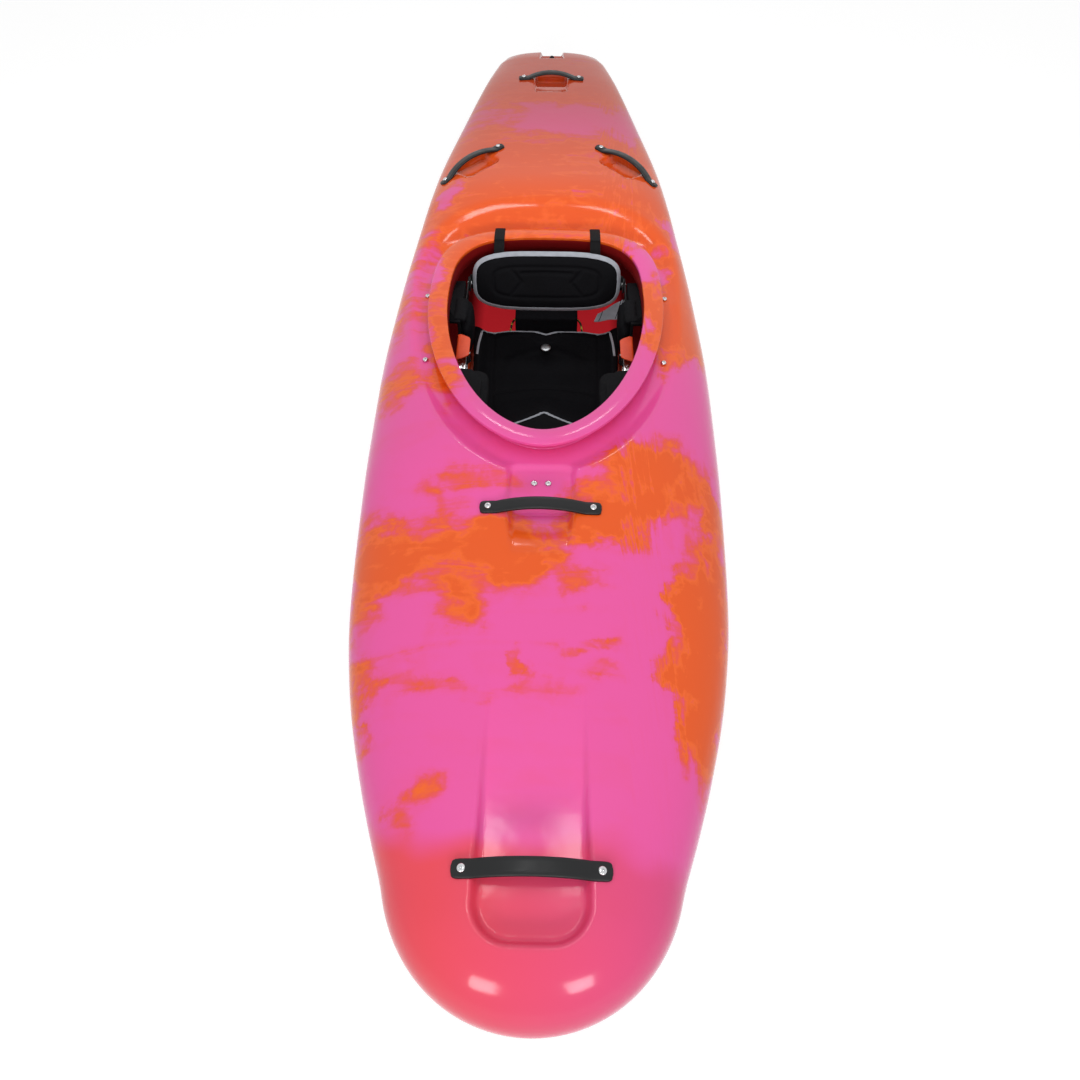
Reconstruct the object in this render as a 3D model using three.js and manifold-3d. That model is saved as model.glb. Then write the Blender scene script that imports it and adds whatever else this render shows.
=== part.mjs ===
// Whitewater kayak: a rotomoulded creek boat with its outfitting, in millimetres.
// +Z is up, the bow points to -Y and the stern to +Y. The origin lies under the middle of the boat,
// on the ground.
// Left and right are the paddler's own, facing the bow: left is +X.
import * as THREE from "three";
import { mergeVertices } from "three/addons/utils/BufferGeometryUtils.js";
import Module from "manifold-3d";

const wasm = await Module();
wasm.setup();

// Driving sizes of the moulded shell. Tables give [share of the length from the bow, share of a size].
const LENGTH = 2780;
const BEAM = 718;
const HEIGHT = 345;
const WALL = 5;
const GAP = 0.35;
const OVERRUN = 60;
const HOLE_CLEARANCE = 0.45;

const BEAM_SHARES = [
  [0, 0.545], [0.03, 0.56], [0.06, 0.6], [0.085, 0.672], [0.125, 0.775], [0.173, 0.873],
  [0.228, 0.94], [0.29, 0.972], [0.361, 0.992], [0.443, 1], [0.539, 0.972], [0.623, 0.925],
  [0.718, 0.852], [0.829, 0.7], [0.913, 0.575], [0.958, 0.5], [1, 0.42],
];
const KEEL_SHARES = [
  [0, 0.46], [0.04, 0.33], [0.1, 0.19], [0.18, 0.075], [0.26, 0.015], [0.32, 0],
  [0.68, 0], [0.76, 0.018], [0.86, 0.09], [0.94, 0.2], [1, 0.3],
];
const GUNWALE_SHARES = [
  [0, 0.68], [0.1, 0.63], [0.3, 0.59], [0.5, 0.58], [0.7, 0.575], [0.9, 0.56], [1, 0.5],
];
const DECK_SHARES = [
  [0, 0.965], [0.05, 0.99], [0.1, 0.98], [0.2, 0.945], [0.26, 0.935], [0.3, 0.945], [0.345, 0.97],
  [0.4, 0.95],
  [0.55, 0.86], [0.64, 0.815], [0.672, 0.825], [0.72, 0.795], [0.8, 0.745], [0.9, 0.685],
  [0.96, 0.635], [1, 0.6],
];
const FLAT_SHARES = [[0, 0.35], [0.2, 0.5], [0.32, 0.6], [0.68, 0.6], [0.85, 0.5], [1, 0.45]];
const BOW_TIP_SHARE = 0.68;
const STERN_TIP_SHARE = 0.48;
const PLAN_CAP_SHARES = { bow: 0.06, stern: 0.03 };
const PROFILE_CAP_SHARES = { bow: 0.05, stern: 0.03 };
const CAP_POWERS = { bow: 2, stern: 3 };
const DECK_POWER = 2.5;
const CHINE_POWER = 2.2;
const STATIONS = 40;
const CHINE_STEPS = 5;
const DECK_STEPS = 8;

const STATION_SHARES = { first: 0.35, even: 0.4 };
const TIP_RING_SHARE = 0.02;

// Below, a share of a width or a place across is of BEAM, one of a length or a place along is of LENGTH,
// and one of a height is of HEIGHT.

// Cockpit: the inner edge of the coaming, in plan, and the sloping plane of its rim.
const COCKPIT = {
  halfWidthShare: 0.305,
  widestShare: 0.514,
  frontReachShare: 0.1662,
  rearReachShare: 0.0881,
  frontPower: 1.9,
  rearPower: 3.2,
  frontHeightShare: 1.0377,
  rearHeightShare: 0.7826,
  points: 36,
};
const COAMING = {
  flange: 43,
  riser: 12,
  thickness: 6,
  edgeRound: 3,
  panDropShare: 0.1101,
  panFootShare: 0.1058,
  panDraft: 34,
};

// Grab handles: a moulded strap with a flat pad at each end and an arch between.
const HANDLE = { pad: 15, width: 26, thickness: 6, arch: 18, edge: 1.5, steps: 10 };
const BOW_HANDLE = { share: 0.068, spanShare: 0.2618 };
const FOREDECK_HANDLE = { share: 0.29, spanShare: 0.2618 };
const STERN_HANDLE = { share: 0.907, spanShare: 0.234 };
const SIDE_HANDLE = { share: 0.7235, acrossShare: 0.2883, spanShare: 0.2618, turn: Math.PI / 4 };
const BOLT = { radius: 3, head: 6, headHeight: 3.2, nut: 5.6, nutHeight: 5, tail: 3, slack: 1, sides: 8 };
const HOLE_REACH = 20;
const FOREDECK_SCREW = { share: 0.3125, halfSpacing: 13 };

// Moulded hollows in the deck, each beside a handle and boltGap clear of its bolts. The draft is over
// DRAFT_HEIGHT.
const BOW_TRAY = {
  share: 0.1165, reachShare: 0.0788, boltGap: 20, frontDepth: 24, rearDepth: -3, corner: 46, draft: 10,
};
const FOREDECK_TRAY = {
  share: 0.307, reachShare: 0.018, boltGap: 36, frontDepth: 11, rearDepth: 15, corner: 12, draft: 12,
};
const FOREDECK_SCOOP = {
  share: 0.274, reachShare: 0.018, boltGap: 42, frontDepth: -2, rearDepth: 26, corner: 12, draft: 12,
};
const STERN_TRAY = {
  share: 0.885, reachShare: 0.0108, boltGap: 36, frontDepth: 3, rearDepth: 9, corner: 10, draft: 10,
};
const STERN_SCOOP = {
  share: 0.9035, reachShare: 0.0094, boltGap: 40, frontDepth: 16, rearDepth: 18, corner: 10, draft: 10,
};
const SIDE_SCOOP = { reach: 30, boltGap: 44, depth: 17, corner: 12, draft: 10, forward: 16 };
const DRAFT_HEIGHT = 30;
const TRAY_CORNER_STEPS = 3;

const DRAIN = {
  share: 0.981, notchHalfWidth: 32, notchReach: 30, notchDepth: 30,
  seatRadius: 19, seatHeight: 3, hole: 13, collar: 17,
  plugRadius: 12, headRadius: 16, headHeight: 5, finHeight: 20, finThickness: 6, finTop: 4, plugDepth: 14,
  sides: 16,
};

// Seat: a moulded pan whose upright wings hang from bolts through the pan of the coaming.
const SEAT = { frontShare: 0.4, rearShare: 0.562, halfWidthShare: 0.2688, wall: 4, rearWall: 44 };
const WING = { frontShare: 0.421, riseShare: 0.437, lowHeightShare: 0.3246, midHeightShare: 0.6899 };
const HANGER = {
  frontShare: 0.492, rearShare: 0.553, boltMargin: 14, bolt: { share: 0.526, rimOffsetShare: 0.0766 },
};
const SEAT_PAD = {
  rearShare: 0.5585, rearNotchShare: 0.0065, chevronShare: 0.449, chevronRake: 0.5, sideGap: 5,
  frontTaper: 20,
  thickness: 26, edge: 7, sideRise: 44, rearRise: 78, frontRise: 62, borderShare: 0.72,
  frontRiseShare: 0.45, frontCrownShare: 0.6, rearCrownShare: 0.4, rows: 12, columns: 14,
};
const LEG_LIFTER = {
  frontShare: 0.402, halfWidthShare: 0.1978, thicknessShare: 0.3014, edgeShare: 0.1855, gap: 1,
  rows: 6, columns: 10,
};
const GRID_EVEN_SHARE = 0.65;
const SWELL_POWERS = { edge: 6, round: 3 };
const SEAT_BUTTON = { share: 0.5352, radius: 13, height: 3, sides: 14 };
const THIGH_BRACE = {
  thickness: 5,
  bolt: { share: 0.4385, rimOffsetShare: 0.0836 },
  outlineShares: [
    [1.05, 0.4515], [1.05, 0.428], [0.95, 0.398], [0.83, 0.38], [0.6, 0.376], [0.512, 0.387],
    [0.512, 0.417], [0.6, 0.43], [0.8, 0.433], [0.93, 0.4515],
  ],
};
const THIGH_PAD = {
  share: 0.408, acrossShare: 0.22, widthShare: 0.1281, lengthShare: 0.0532, thickness: 20, edge: 8, crown: 3,
};
const HIP_PAD = {
  share: 0.51, lengthShare: 0.0414, lowShare: 0.4812, highShare: 0.7304, thickness: 34, edge: 11, crown: 4,
  channel: 3, flapReach: 20, flapThickness: 5, webDepth: 36, webThickness: 18,
};
const PILLOW = { power: 4, sides: 24, smallSides: 20, largeSides: 32 };

// Backrest, held at its ends by two ladder straps that run forward through the ratchets.
const BACKREST = {
  share: 0.564, centreShare: 0.6203, heightShare: 0.4174, riseShare: 0.0203, thickness: 30, edge: 11,
  crown: 4, lean: 0.443, power: 3.4, plateShare: 0.3768,
  shellThickness: 4, shellMargin: 24, armHeight: 34, earThickness: 3.5, earReach: 13, endClearance: 3,
};
const LADDER = { width: 25, thickness: 2.5, tail: 62, rearReach: 14 };
const RIVET = { radius: 3, head: 6, headHeight: 1.6, sides: 8 };
const RATCHET = {
  share: 0.4547, length: 72, base: 2, cheek: 2, cheekReach: 16, innerWidth: 30,
  leverAt: 6, leverPin: 8.6, leverLength: 60, leverThickness: 4, leverWidth: 26, hub: 5,
  releaseAt: 27, releasePin: 8.6, releaseLength: 24, releaseThickness: 3, releaseHub: 3.5, releaseLift: 0.6,
  pin: 2.2, sides: 8,
};
const REAR_STRAP = {
  acrossShare: 0.163, width: 25, thickness: 2.2, foot: 5, clearance: 0.9, climb: 34, rimLift: 0.6,
  hookDrop: 14, hookReach: 10,
};

// Footrest: a bulkhead plate that slides along two rails fixed to the wings of the seat.
const FOOTREST = {
  share: 0.212, sideGap: 6, heightShare: 0.5101, lowShare: 0.1333, thickness: 10, edge: 2.5,
  shoeWall: 4, shoeLength: 30, slack: 0.5,
};
const FOOTREST_PAD = { thickness: 20, margin: 12, edge: 6, crown: 2 };
const RAIL = {
  height: 26, thickness: 4, lowShare: 0.3014, frontShare: 0.163, rearShare: 0.437, screwShare: 0.4295,
};
const RAIL_SCREW = { radius: 2.5, head: 5, headHeight: 2.5, nutHeight: 4, sides: 8 };

// Foam pillars that hold the deck up, and the cords that tie the rear one to the seat.
const BOW_PILLAR = { frontShare: 0.05, rearShare: 0.155, halfThickness: 40 };
const STERN_PILLAR = { frontShare: 0.597, rearShare: 0.925, halfThickness: 44 };
const PILLAR_BLOCK = { frontShare: 0.5665, halfWidthShare: 0.1114, heightShare: 0.29 };
const TIE_CORD = {
  radius: 2.5, sides: 8, steps: 12, heightShare: 0.1797, knot: 5.5, acrossShare: 0.1365, knotSegments: 8,
};

const MATERIALS = {
  shell: { color: 0xec5b7c, roughness: 0.28, metalness: 0 },
  strap: { color: 0x1f2226, roughness: 0.5, metalness: 0 },
  steel: { color: 0xc9ccd0, roughness: 0.25, metalness: 1 },
  plug: { color: 0x151617, roughness: 0.45, metalness: 0 },
  seat: { color: 0xe8552a, roughness: 0.4, metalness: 0 },
  pad: { color: 0x14141a, roughness: 0.9, metalness: 0 },
  foam: { color: 0x1b1c20, roughness: 0.95, metalness: 0 },
  rail: { color: 0xb9bcc0, roughness: 0.35, metalness: 1 },
  bungee: { color: 0x25271c, roughness: 0.8, metalness: 0 },
  webbing: { color: 0x131417, roughness: 0.85, metalness: 0 },
};

// A smooth curve through [place, value] pairs that doesn't overshoot them.
function through(pairs) {
  const slopes = pairs.slice(1).map(([x, y], i) => (y - pairs[i][1]) / (x - pairs[i][0]));
  const tangents = pairs.map((_, i) => {
    const before = slopes[Math.max(i - 1, 0)];
    const after = slopes[Math.min(i, slopes.length - 1)];
    return before * after <= 0 ? 0 : (2 * before * after) / (before + after);
  });
  return (x) => {
    let i = 0;
    while (i < pairs.length - 2 && x > pairs[i + 1][0]) i += 1;
    const width = pairs[i + 1][0] - pairs[i][0];
    const t = THREE.MathUtils.clamp((x - pairs[i][0]) / width, 0, 1);
    const rest = 1 - t;
    return (
      pairs[i][1] * rest * rest * (1 + 2 * t) +
      tangents[i] * width * t * rest * rest +
      pairs[i + 1][1] * t * t * (3 - 2 * t) -
      tangents[i + 1] * width * t * t * rest
    );
  };
}

const beamShare = through(BEAM_SHARES);
const keelShare = through(KEEL_SHARES);
const gunwaleShare = through(GUNWALE_SHARES);
const deckShare = through(DECK_SHARES);
const flatShare = through(FLAT_SHARES);

const placeOf = (share) => (share - 0.5) * LENGTH;
const shareOf = (y) => y / LENGTH + 0.5;

// How far the rounded ends have opened at a share of the length: 0 at the tip and 1 past the cap.
function opening(share, caps) {
  const bow = Math.min(share / caps.bow, 1);
  const stern = Math.min((1 - share) / caps.stern, 1);
  const round = (t, power) => Math.pow(1 - Math.pow(1 - t, power), 1 / power);
  return round(bow, CAP_POWERS.bow) * round(stern, CAP_POWERS.stern);
}

// The shell's cross-section at a share of the length, moved inwards by inset.
function sectionAt(share, inset = 0) {
  const rise = opening(share, PROFILE_CAP_SHARES);
  const tip = HEIGHT * (share < 0.5 ? BOW_TIP_SHARE : STERN_TIP_SHARE);
  const half = (BEAM / 2) * beamShare(share) * opening(share, PLAN_CAP_SHARES);
  const keel = tip + (HEIGHT * keelShare(share) - tip) * rise;
  const deck = tip + (HEIGHT * deckShare(share) - tip) * rise;
  const gunwale = tip + (HEIGHT * gunwaleShare(share) - tip) * rise;
  return {
    half: Math.max(half - inset, inset / 2),
    keel: Math.min(keel + inset, gunwale - inset / 8),
    deck: Math.max(deck - inset, gunwale + inset / 8),
    gunwale,
    flat: flatShare(share),
  };
}

// Points of half a cross-section, from the keel line round the gunwale to the deck's centre line.
function halfSection(section) {
  const points = [[0, section.keel]];
  const flat = section.half * section.flat;
  points.push([flat / 2, section.keel], [flat, section.keel]);
  for (let i = 1; i <= CHINE_STEPS; i += 1) {
    const angle = (i / CHINE_STEPS) * (Math.PI / 2);
    const out = Math.pow(Math.sin(angle), 2 / CHINE_POWER);
    const down = Math.pow(Math.cos(angle), 2 / CHINE_POWER);
    points.push([
      flat + (section.half - flat) * out,
      i === CHINE_STEPS ? section.gunwale : section.gunwale - (section.gunwale - section.keel) * down,
    ]);
  }
  for (let i = 1; i <= DECK_STEPS; i += 1) {
    const across = i === DECK_STEPS ? 0 : Math.cos((i / DECK_STEPS) * (Math.PI / 2));
    points.push([section.half * across, crown(section, across)]);
  }
  return points;
}

// Height of the deck where across is a share of the half beam.
const crown = (section, across) =>
  section.gunwale +
  (section.deck - section.gunwale) * Math.pow(1 - Math.pow(across, DECK_POWER), 1 / DECK_POWER);

// Height of the plain deck, without its hollows.
function deckHeight(x, y, inset = 0) {
  const section = sectionAt(shareOf(y), inset);
  return crown(section, Math.min(Math.abs(x) / section.half, 1));
}

// Height of the coaming's rim, and its angle.
const cockpitWidest = placeOf(COCKPIT.widestShare);
const cockpitHalfWidth = BEAM * COCKPIT.halfWidthShare;
const frontReach = LENGTH * COCKPIT.frontReachShare;
const rearReach = LENGTH * COCKPIT.rearReachShare;
const frontHeight = HEIGHT * COCKPIT.frontHeightShare;
const rimSlope = (HEIGHT * COCKPIT.rearHeightShare - frontHeight) / (frontReach + rearReach);
const rimHeight = (y) => frontHeight + rimSlope * (y - cockpitWidest + frontReach);
const panDrop = HEIGHT * COAMING.panDropShare;
const panHeight = (y) => rimHeight(y) - panDrop;

// The coaming's inner edge in plan, moved outwards by offset.
function cockpitEdge(angle, offset) {
  const side = Math.cos(angle);
  const along = Math.sin(angle);
  const power = along > 0 ? COCKPIT.rearPower : COCKPIT.frontPower;
  const reach = along > 0 ? rearReach : frontReach;
  return [
    Math.sign(side) * Math.pow(Math.abs(side), 2 / power) * (cockpitHalfWidth + offset),
    cockpitWidest + Math.sign(along) * Math.pow(Math.abs(along), 2 / power) * (reach + offset),
  ];
}
// Half the width of that edge at y.
function rimAcross(y, offset) {
  const power = y > cockpitWidest ? COCKPIT.rearPower : COCKPIT.frontPower;
  const reach = (y > cockpitWidest ? rearReach : frontReach) + offset;
  const share = 1 - Math.pow(Math.abs(y - cockpitWidest) / reach, power);
  return (cockpitHalfWidth + offset) * Math.pow(share, 1 / power);
}
const cockpitAngles = Array.from({ length: COCKPIT.points }, (_, i) => (i / COCKPIT.points) * 2 * Math.PI);
const cockpitRing = (offset, height) =>
  cockpitAngles.map((angle) => {
    const [x, y] = cockpitEdge(angle, offset);
    return new THREE.Vector3(x, y, height(y));
  });

const axisX = new THREE.Vector3(1, 0, 0);
const axisY = new THREE.Vector3(0, 1, 0);
const axisZ = new THREE.Vector3(0, 0, 1);

// A solid from three.js geometry, with its faces turned to point outwards.
function solid(geometry) {
  const plain = geometry.index ? geometry.toNonIndexed() : geometry.clone();
  const bare = new THREE.BufferGeometry().setAttribute("position", plain.getAttribute("position"));
  const merged = mergeVertices(bare);
  const vertProperties = merged.attributes.position.array;
  const faces = (triVerts) => new wasm.Manifold(new wasm.Mesh({ numProp: 3, vertProperties, triVerts }));
  const made = faces(new Uint32Array(merged.index.array));
  return made.volume() > 0 ? made : faces(new Uint32Array([...merged.index.array].reverse()));
}

// A closed body through rings of equal length. The first and last ring are capped, unless the rings
// close on themselves.
function loft(rings, closed = false) {
  const points = rings.flat();
  const count = rings[0].length;
  const faces = [];
  const last = closed ? rings.length : rings.length - 1;
  for (let i = 0; i < last; i += 1) {
    const next = (i + 1) % rings.length;
    for (let j = 0; j < count; j += 1) {
      const k = (j + 1) % count;
      faces.push(i * count + j, i * count + k, next * count + k);
      faces.push(i * count + j, next * count + k, next * count + j);
    }
  }
  if (!closed) {
    [0, rings.length - 1].forEach((row) => {
      const centre = new THREE.Vector3();
      rings[row].forEach((point) => centre.addScaledVector(point, 1 / count));
      points.push(centre);
      for (let j = 0; j < count; j += 1) {
        const pair = [row * count + j, row * count + ((j + 1) % count)];
        faces.push(points.length - 1, ...(row ? pair : pair.reverse()));
      }
    });
  }
  const geometry = new THREE.BufferGeometry().setFromPoints(points);
  geometry.setIndex(faces);
  return solid(geometry);
}

const box = (x0, x1, y0, y1, z0, z1) =>
  solid(new THREE.BoxGeometry(x1 - x0, y1 - y0, z1 - z0)).translate([
    (x0 + x1) / 2, (y0 + y1) / 2, (z0 + z1) / 2,
  ]);

// A turned body about +Z from [radius, height] pairs that start and end on the axis, or on one another.
function turned(profile, sides) {
  const points = profile.map(([radius, height]) => new THREE.Vector2(radius, height));
  return solid(new THREE.LatheGeometry(points, sides)).rotate([90, 0, 0]);
}
const rod = (radius, from, to, sides) => turned([[0, from], [radius, from], [radius, to], [0, to]], sides);

// Places a solid made about the origin: its z runs along normal and its x as near as can be to across.
function standing(made, place, normal, across = axisX) {
  const side = across.clone().addScaledVector(normal, -across.dot(normal)).normalize();
  const along = new THREE.Vector3().crossVectors(normal, side);
  const matrix = new THREE.Matrix4().makeBasis(side, along, normal).setPosition(place);
  return made.transform(matrix.elements);
}

const mirrored = (made) => made.mirror([1, 0, 0]);
const joined = (solids) => solids.reduce((all, made) => all.add(made));

// The scene graph: one named mesh for each solid.
const kayak = new THREE.Group();
const materials = Object.fromEntries(
  Object.entries(MATERIALS).map(([name, look]) => [name, new THREE.MeshStandardMaterial(look)]),
);
function meshOf(made, material) {
  const { vertProperties, triVerts, numProp } = made.getMesh();
  const positions = new Float32Array(triVerts.length * 3);
  triVerts.forEach((vertex, i) => {
    positions.set(vertProperties.subarray(vertex * numProp, vertex * numProp + 3), i * 3);
  });
  const geometry = new THREE.BufferGeometry();
  geometry.setAttribute("position", new THREE.BufferAttribute(positions, 3));
  geometry.computeVertexNormals();
  return new THREE.Mesh(geometry, material);
}
function addPart(name, made, material) {
  const mesh = meshOf(made, materials[material]);
  mesh.name = name;
  kayak.add(mesh);
}
// A piece made for the left side, and its mirror image for the right.
function addPair(name, made, material) {
  addPart(`${name}_left`, made, material);
  addPart(`${name}_right`, mirrored(made), material);
}

// Moulded shell
function hullBody(inset) {
  const length = LENGTH - 2 * inset;
  const rings = [];
  for (let i = 0; i < STATIONS; i += 1) {
    const step = (i + STATION_SHARES.first) / (STATIONS - 1 + 2 * STATION_SHARES.first);
    const share = THREE.MathUtils.lerp((1 - Math.cos(Math.PI * step)) / 2, step, STATION_SHARES.even);
    const half = halfSection(sectionAt(share, inset));
    const ring = [...half, ...half.slice(1, -1).reverse().map(([x, z]) => [-x, z])];
    rings.push(ring.map(([x, z]) => new THREE.Vector3(x, (share - 0.5) * length, z)));
  }
  return hullEnds(rings, length);
}

// Closes the hull's rings on a point at the bow and at the stern.
function hullEnds(rings, length) {
  const tips = [
    new THREE.Vector3(0, -length / 2, HEIGHT * BOW_TIP_SHARE),
    new THREE.Vector3(0, length / 2, HEIGHT * STERN_TIP_SHARE),
  ];
  const shrunk = (ring, tip) => ring.map((point) => tip.clone().lerp(point, TIP_RING_SHARE));
  return loft([shrunk(rings[0], tips[0]), ...rings, shrunk(rings.at(-1), tips[1])]);
}

// A tray pressed into the deck: a tapered block whose floor slopes from its front edge to its rear edge.
function trayBlock({ centre, turn, reach, halfWidth, frontFloor, rearFloor, corner, draft }, swell) {
  const corners = [[1, 1], [-1, 1], [-1, -1], [1, -1]];
  const steps = TRAY_CORNER_STEPS;
  const outline = (grow, lift) =>
    corners.flatMap(([sx, sy], k) =>
      Array.from({ length: steps }, (_, i) => {
        const angle = (k + i / (steps - 1)) * (Math.PI / 2);
        const round = corner + grow;
        const x = sx * (halfWidth - corner) + round * Math.cos(angle);
        const y = sy * (reach - corner) + round * Math.sin(angle);
        const floor = frontFloor + ((rearFloor - frontFloor) * (y + reach)) / (2 * reach);
        return new THREE.Vector3(x, y, floor + lift);
      }),
    );
  return loft([outline(swell, -swell), outline(swell + (draft * OVERRUN) / DRAFT_HEIGHT, OVERRUN)])
    .rotate([0, 0, THREE.MathUtils.radToDeg(turn)])
    .translate([centre.x, centre.y, 0]);
}

const halfSpan = ({ spanShare }) => (BEAM * spanShare) / 2;

// A tray on the centre line, with its floor set below the plain deck.
function deckTray(tray, handle) {
  const y = placeOf(tray.share);
  const reach = LENGTH * tray.reachShare;
  return {
    ...tray,
    reach,
    halfWidth: halfSpan(handle) - tray.boltGap,
    centre: new THREE.Vector3(0, y),
    turn: 0,
    frontFloor: deckHeight(0, y - reach) - tray.frontDepth,
    rearFloor: deckHeight(0, y + reach) - tray.rearDepth,
  };
}
function sideScoop(side) {
  const ahead = SIDE_SCOOP.forward * Math.SQRT1_2;
  const across = side * (BEAM * SIDE_HANDLE.acrossShare - ahead);
  const centre = new THREE.Vector3(across, placeOf(SIDE_HANDLE.share) - ahead);
  const floor = deckHeight(centre.x, centre.y) - SIDE_SCOOP.depth;
  const halfWidth = halfSpan(SIDE_HANDLE) - SIDE_SCOOP.boltGap;
  const turn = -side * SIDE_HANDLE.turn;
  return { ...SIDE_SCOOP, centre, halfWidth, turn, frontFloor: floor, rearFloor: floor };
}
const foredeckTray = deckTray(FOREDECK_TRAY, FOREDECK_HANDLE);
const trays = [
  deckTray(BOW_TRAY, BOW_HANDLE), foredeckTray, deckTray(FOREDECK_SCOOP, FOREDECK_HANDLE),
  deckTray(STERN_TRAY, STERN_HANDLE), deckTray(STERN_SCOOP, STERN_HANDLE), sideScoop(1), sideScoop(-1),
];

// The sunken pan round the coaming, swollen by the wall for the inside.
function panBlock(swell) {
  const foot = BEAM * COAMING.panFootShare + swell;
  return loft([
    cockpitRing(foot, (y) => panHeight(y) - swell),
    cockpitRing(foot + COAMING.panDraft, (y) => panHeight(y) + OVERRUN),
  ]);
}

// The coaming: a riser with an outward flange that a spraydeck grips.
function coaming() {
  const { flange, riser, thickness, edgeRound } = COAMING;
  const foot = -panDrop - WALL;
  const profile = [
    [0, foot],
    [0, -edgeRound],
    [edgeRound, 0],
    [flange - edgeRound, 0],
    [flange, -edgeRound],
    [flange, -thickness],
    [flange - edgeRound, -thickness - edgeRound],
    [riser, -thickness - edgeRound],
    [riser, -panDrop - WALL / 2],
    [riser / 2, foot],
  ];
  const rings = profile.map(([offset, height]) => cockpitRing(offset, (y) => rimHeight(y) + height));
  return loft(rings, true);
}

// Places where bolts pass through the shell: a point on the outer surface and the bolt's direction.
const rimNormal = new THREE.Vector3(0, -rimSlope, 1).normalize();
// A place on the plain deck as it is made, under a flat foot that reaches this far each way.
const plainDeck = meshOf(hullBody(0));
function surfaceHeight(x, y) {
  const ray = new THREE.Raycaster(new THREE.Vector3(x, y, LENGTH), axisZ.clone().negate());
  return ray.intersectObject(plainDeck)[0].point.z;
}
function onDeck(x, y, reach = HANDLE.width / 2) {
  const slopeX = (surfaceHeight(x + reach, y) - surfaceHeight(x - reach, y)) / (2 * reach);
  const slopeY = (surfaceHeight(x, y + reach) - surfaceHeight(x, y - reach)) / (2 * reach);
  const rises = [-1, 0, 1].flatMap((i) =>
    [-1, 0, 1].map((j) => surfaceHeight(x + i * reach, y + j * reach) - (slopeX * i + slopeY * j) * reach),
  );
  return {
    place: new THREE.Vector3(x, y, Math.max(...rises)),
    normal: new THREE.Vector3(-slopeX, -slopeY, 1).normalize(),
  };
}
const onPan = (x, y) => ({ place: new THREE.Vector3(x, y, panHeight(y)), normal: rimNormal });

const acrossDeck = (handle) => [-1, 1].map((side) => onDeck(side * halfSpan(handle), placeOf(handle.share)));
function slantedEnds(side) {
  const reach = halfSpan(SIDE_HANDLE) * Math.SQRT1_2;
  const across = BEAM * SIDE_HANDLE.acrossShare;
  const along = placeOf(SIDE_HANDLE.share);
  return [-1, 1].map((end) => onDeck(side * across + end * reach, along - side * end * reach));
}
const handleEnds = {
  bow_handle: acrossDeck(BOW_HANDLE),
  foredeck_handle: acrossDeck(FOREDECK_HANDLE),
  stern_handle: acrossDeck(STERN_HANDLE),
  side_handle_left: slantedEnds(1),
  side_handle_right: slantedEnds(-1),
};
const screwY = placeOf(FOREDECK_SCREW.share);
const traySlope = (foredeckTray.rearFloor - foredeckTray.frontFloor) / (2 * foredeckTray.reach);
const screwZ = foredeckTray.frontFloor + traySlope * (screwY - foredeckTray.centre.y + foredeckTray.reach);
const foredeckScrews = [-1, 1].map((side) => ({
  place: new THREE.Vector3(side * FOREDECK_SCREW.halfSpacing, screwY, screwZ),
  normal: new THREE.Vector3(0, -traySlope, 1).normalize(),
}));
const panBolts = ({ share, rimOffsetShare }) => {
  const across = rimAcross(placeOf(share), BEAM * rimOffsetShare);
  return [1, -1].map((side) => onPan(side * across, placeOf(share)));
};
const seatBolts = panBolts(HANGER.bolt);
const braceBolts = panBolts(THIGH_BRACE.bolt);

const boltHole = ({ place, normal }) =>
  standing(rod(BOLT.radius + HOLE_CLEARANCE, -HOLE_REACH, HOLE_REACH, BOLT.sides), place, normal);
const drainY = placeOf(DRAIN.share);
const drainFloor = deckHeight(0, drainY) - DRAIN.notchDepth;

// What lies inside the shell's outer surface, less inset all round.
function hollow(inset) {
  const { notchHalfWidth, notchReach } = DRAIN;
  const notch = box(
    -notchHalfWidth - inset, notchHalfWidth + inset,
    drainY - notchReach - inset, drainY + LENGTH / 2,
    drainFloor - inset, drainFloor + LENGTH,
  );
  const whole = hullBody(inset).subtract(panBlock(inset)).subtract(notch);
  return trays.reduce((made, tray) => made.subtract(trayBlock(tray, inset)), whole);
}

function shell() {
  const mouth = loft([
    cockpitRing(COAMING.riser / 2, (y) => panHeight(y) - OVERRUN),
    cockpitRing(COAMING.riser / 2, (y) => panHeight(y) + OVERRUN),
  ]);
  const bolts = [...Object.values(handleEnds).flat(), ...foredeckScrews, ...seatBolts, ...braceBolts];
  const throat = rod(DRAIN.collar + HOLE_CLEARANCE, -HOLE_REACH, HOLE_REACH, DRAIN.sides);
  return hollow(0)
    .subtract(hollow(WALL))
    .subtract(mouth)
    .add(coaming())
    .subtract(joined(bolts.map(boltHole)))
    .subtract(throat.translate([0, drainY, drainFloor]));
}
addPart("hull_shell", shell(), "shell");

// A bolt with its nut: the head sits on what it clamps, and the nut under the wall.
function bolt({ place, normal }, clampedHeight, wallBelow) {
  const seat = clampedHeight + GAP;
  const under = -wallBelow - GAP;
  const profile = [
    [0, seat + BOLT.headHeight],
    [BOLT.head / 2, seat + BOLT.headHeight],
    [BOLT.head, seat],
    [BOLT.radius, seat],
    [BOLT.radius, under],
    [BOLT.nut, under],
    [BOLT.nut, under - BOLT.nutHeight],
    [0, under - BOLT.nutHeight - BOLT.tail],
  ];
  return standing(turned(profile, BOLT.sides), place, normal);
}
for (const [name, ends] of Object.entries(handleEnds)) {
  addPart(name, handle(ends), "strap");
  ends.forEach((end, i) => {
    addPart(`${name}_bolt_${i + 1}`, bolt(end, HANDLE.thickness + GAP, WALL + BOLT.slack), "steel");
  });
}
addPart("foredeck_screw_right", bolt(foredeckScrews[0], 0, WALL), "steel");
addPart("foredeck_screw_left", bolt(foredeckScrews[1], 0, WALL), "steel");

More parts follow.
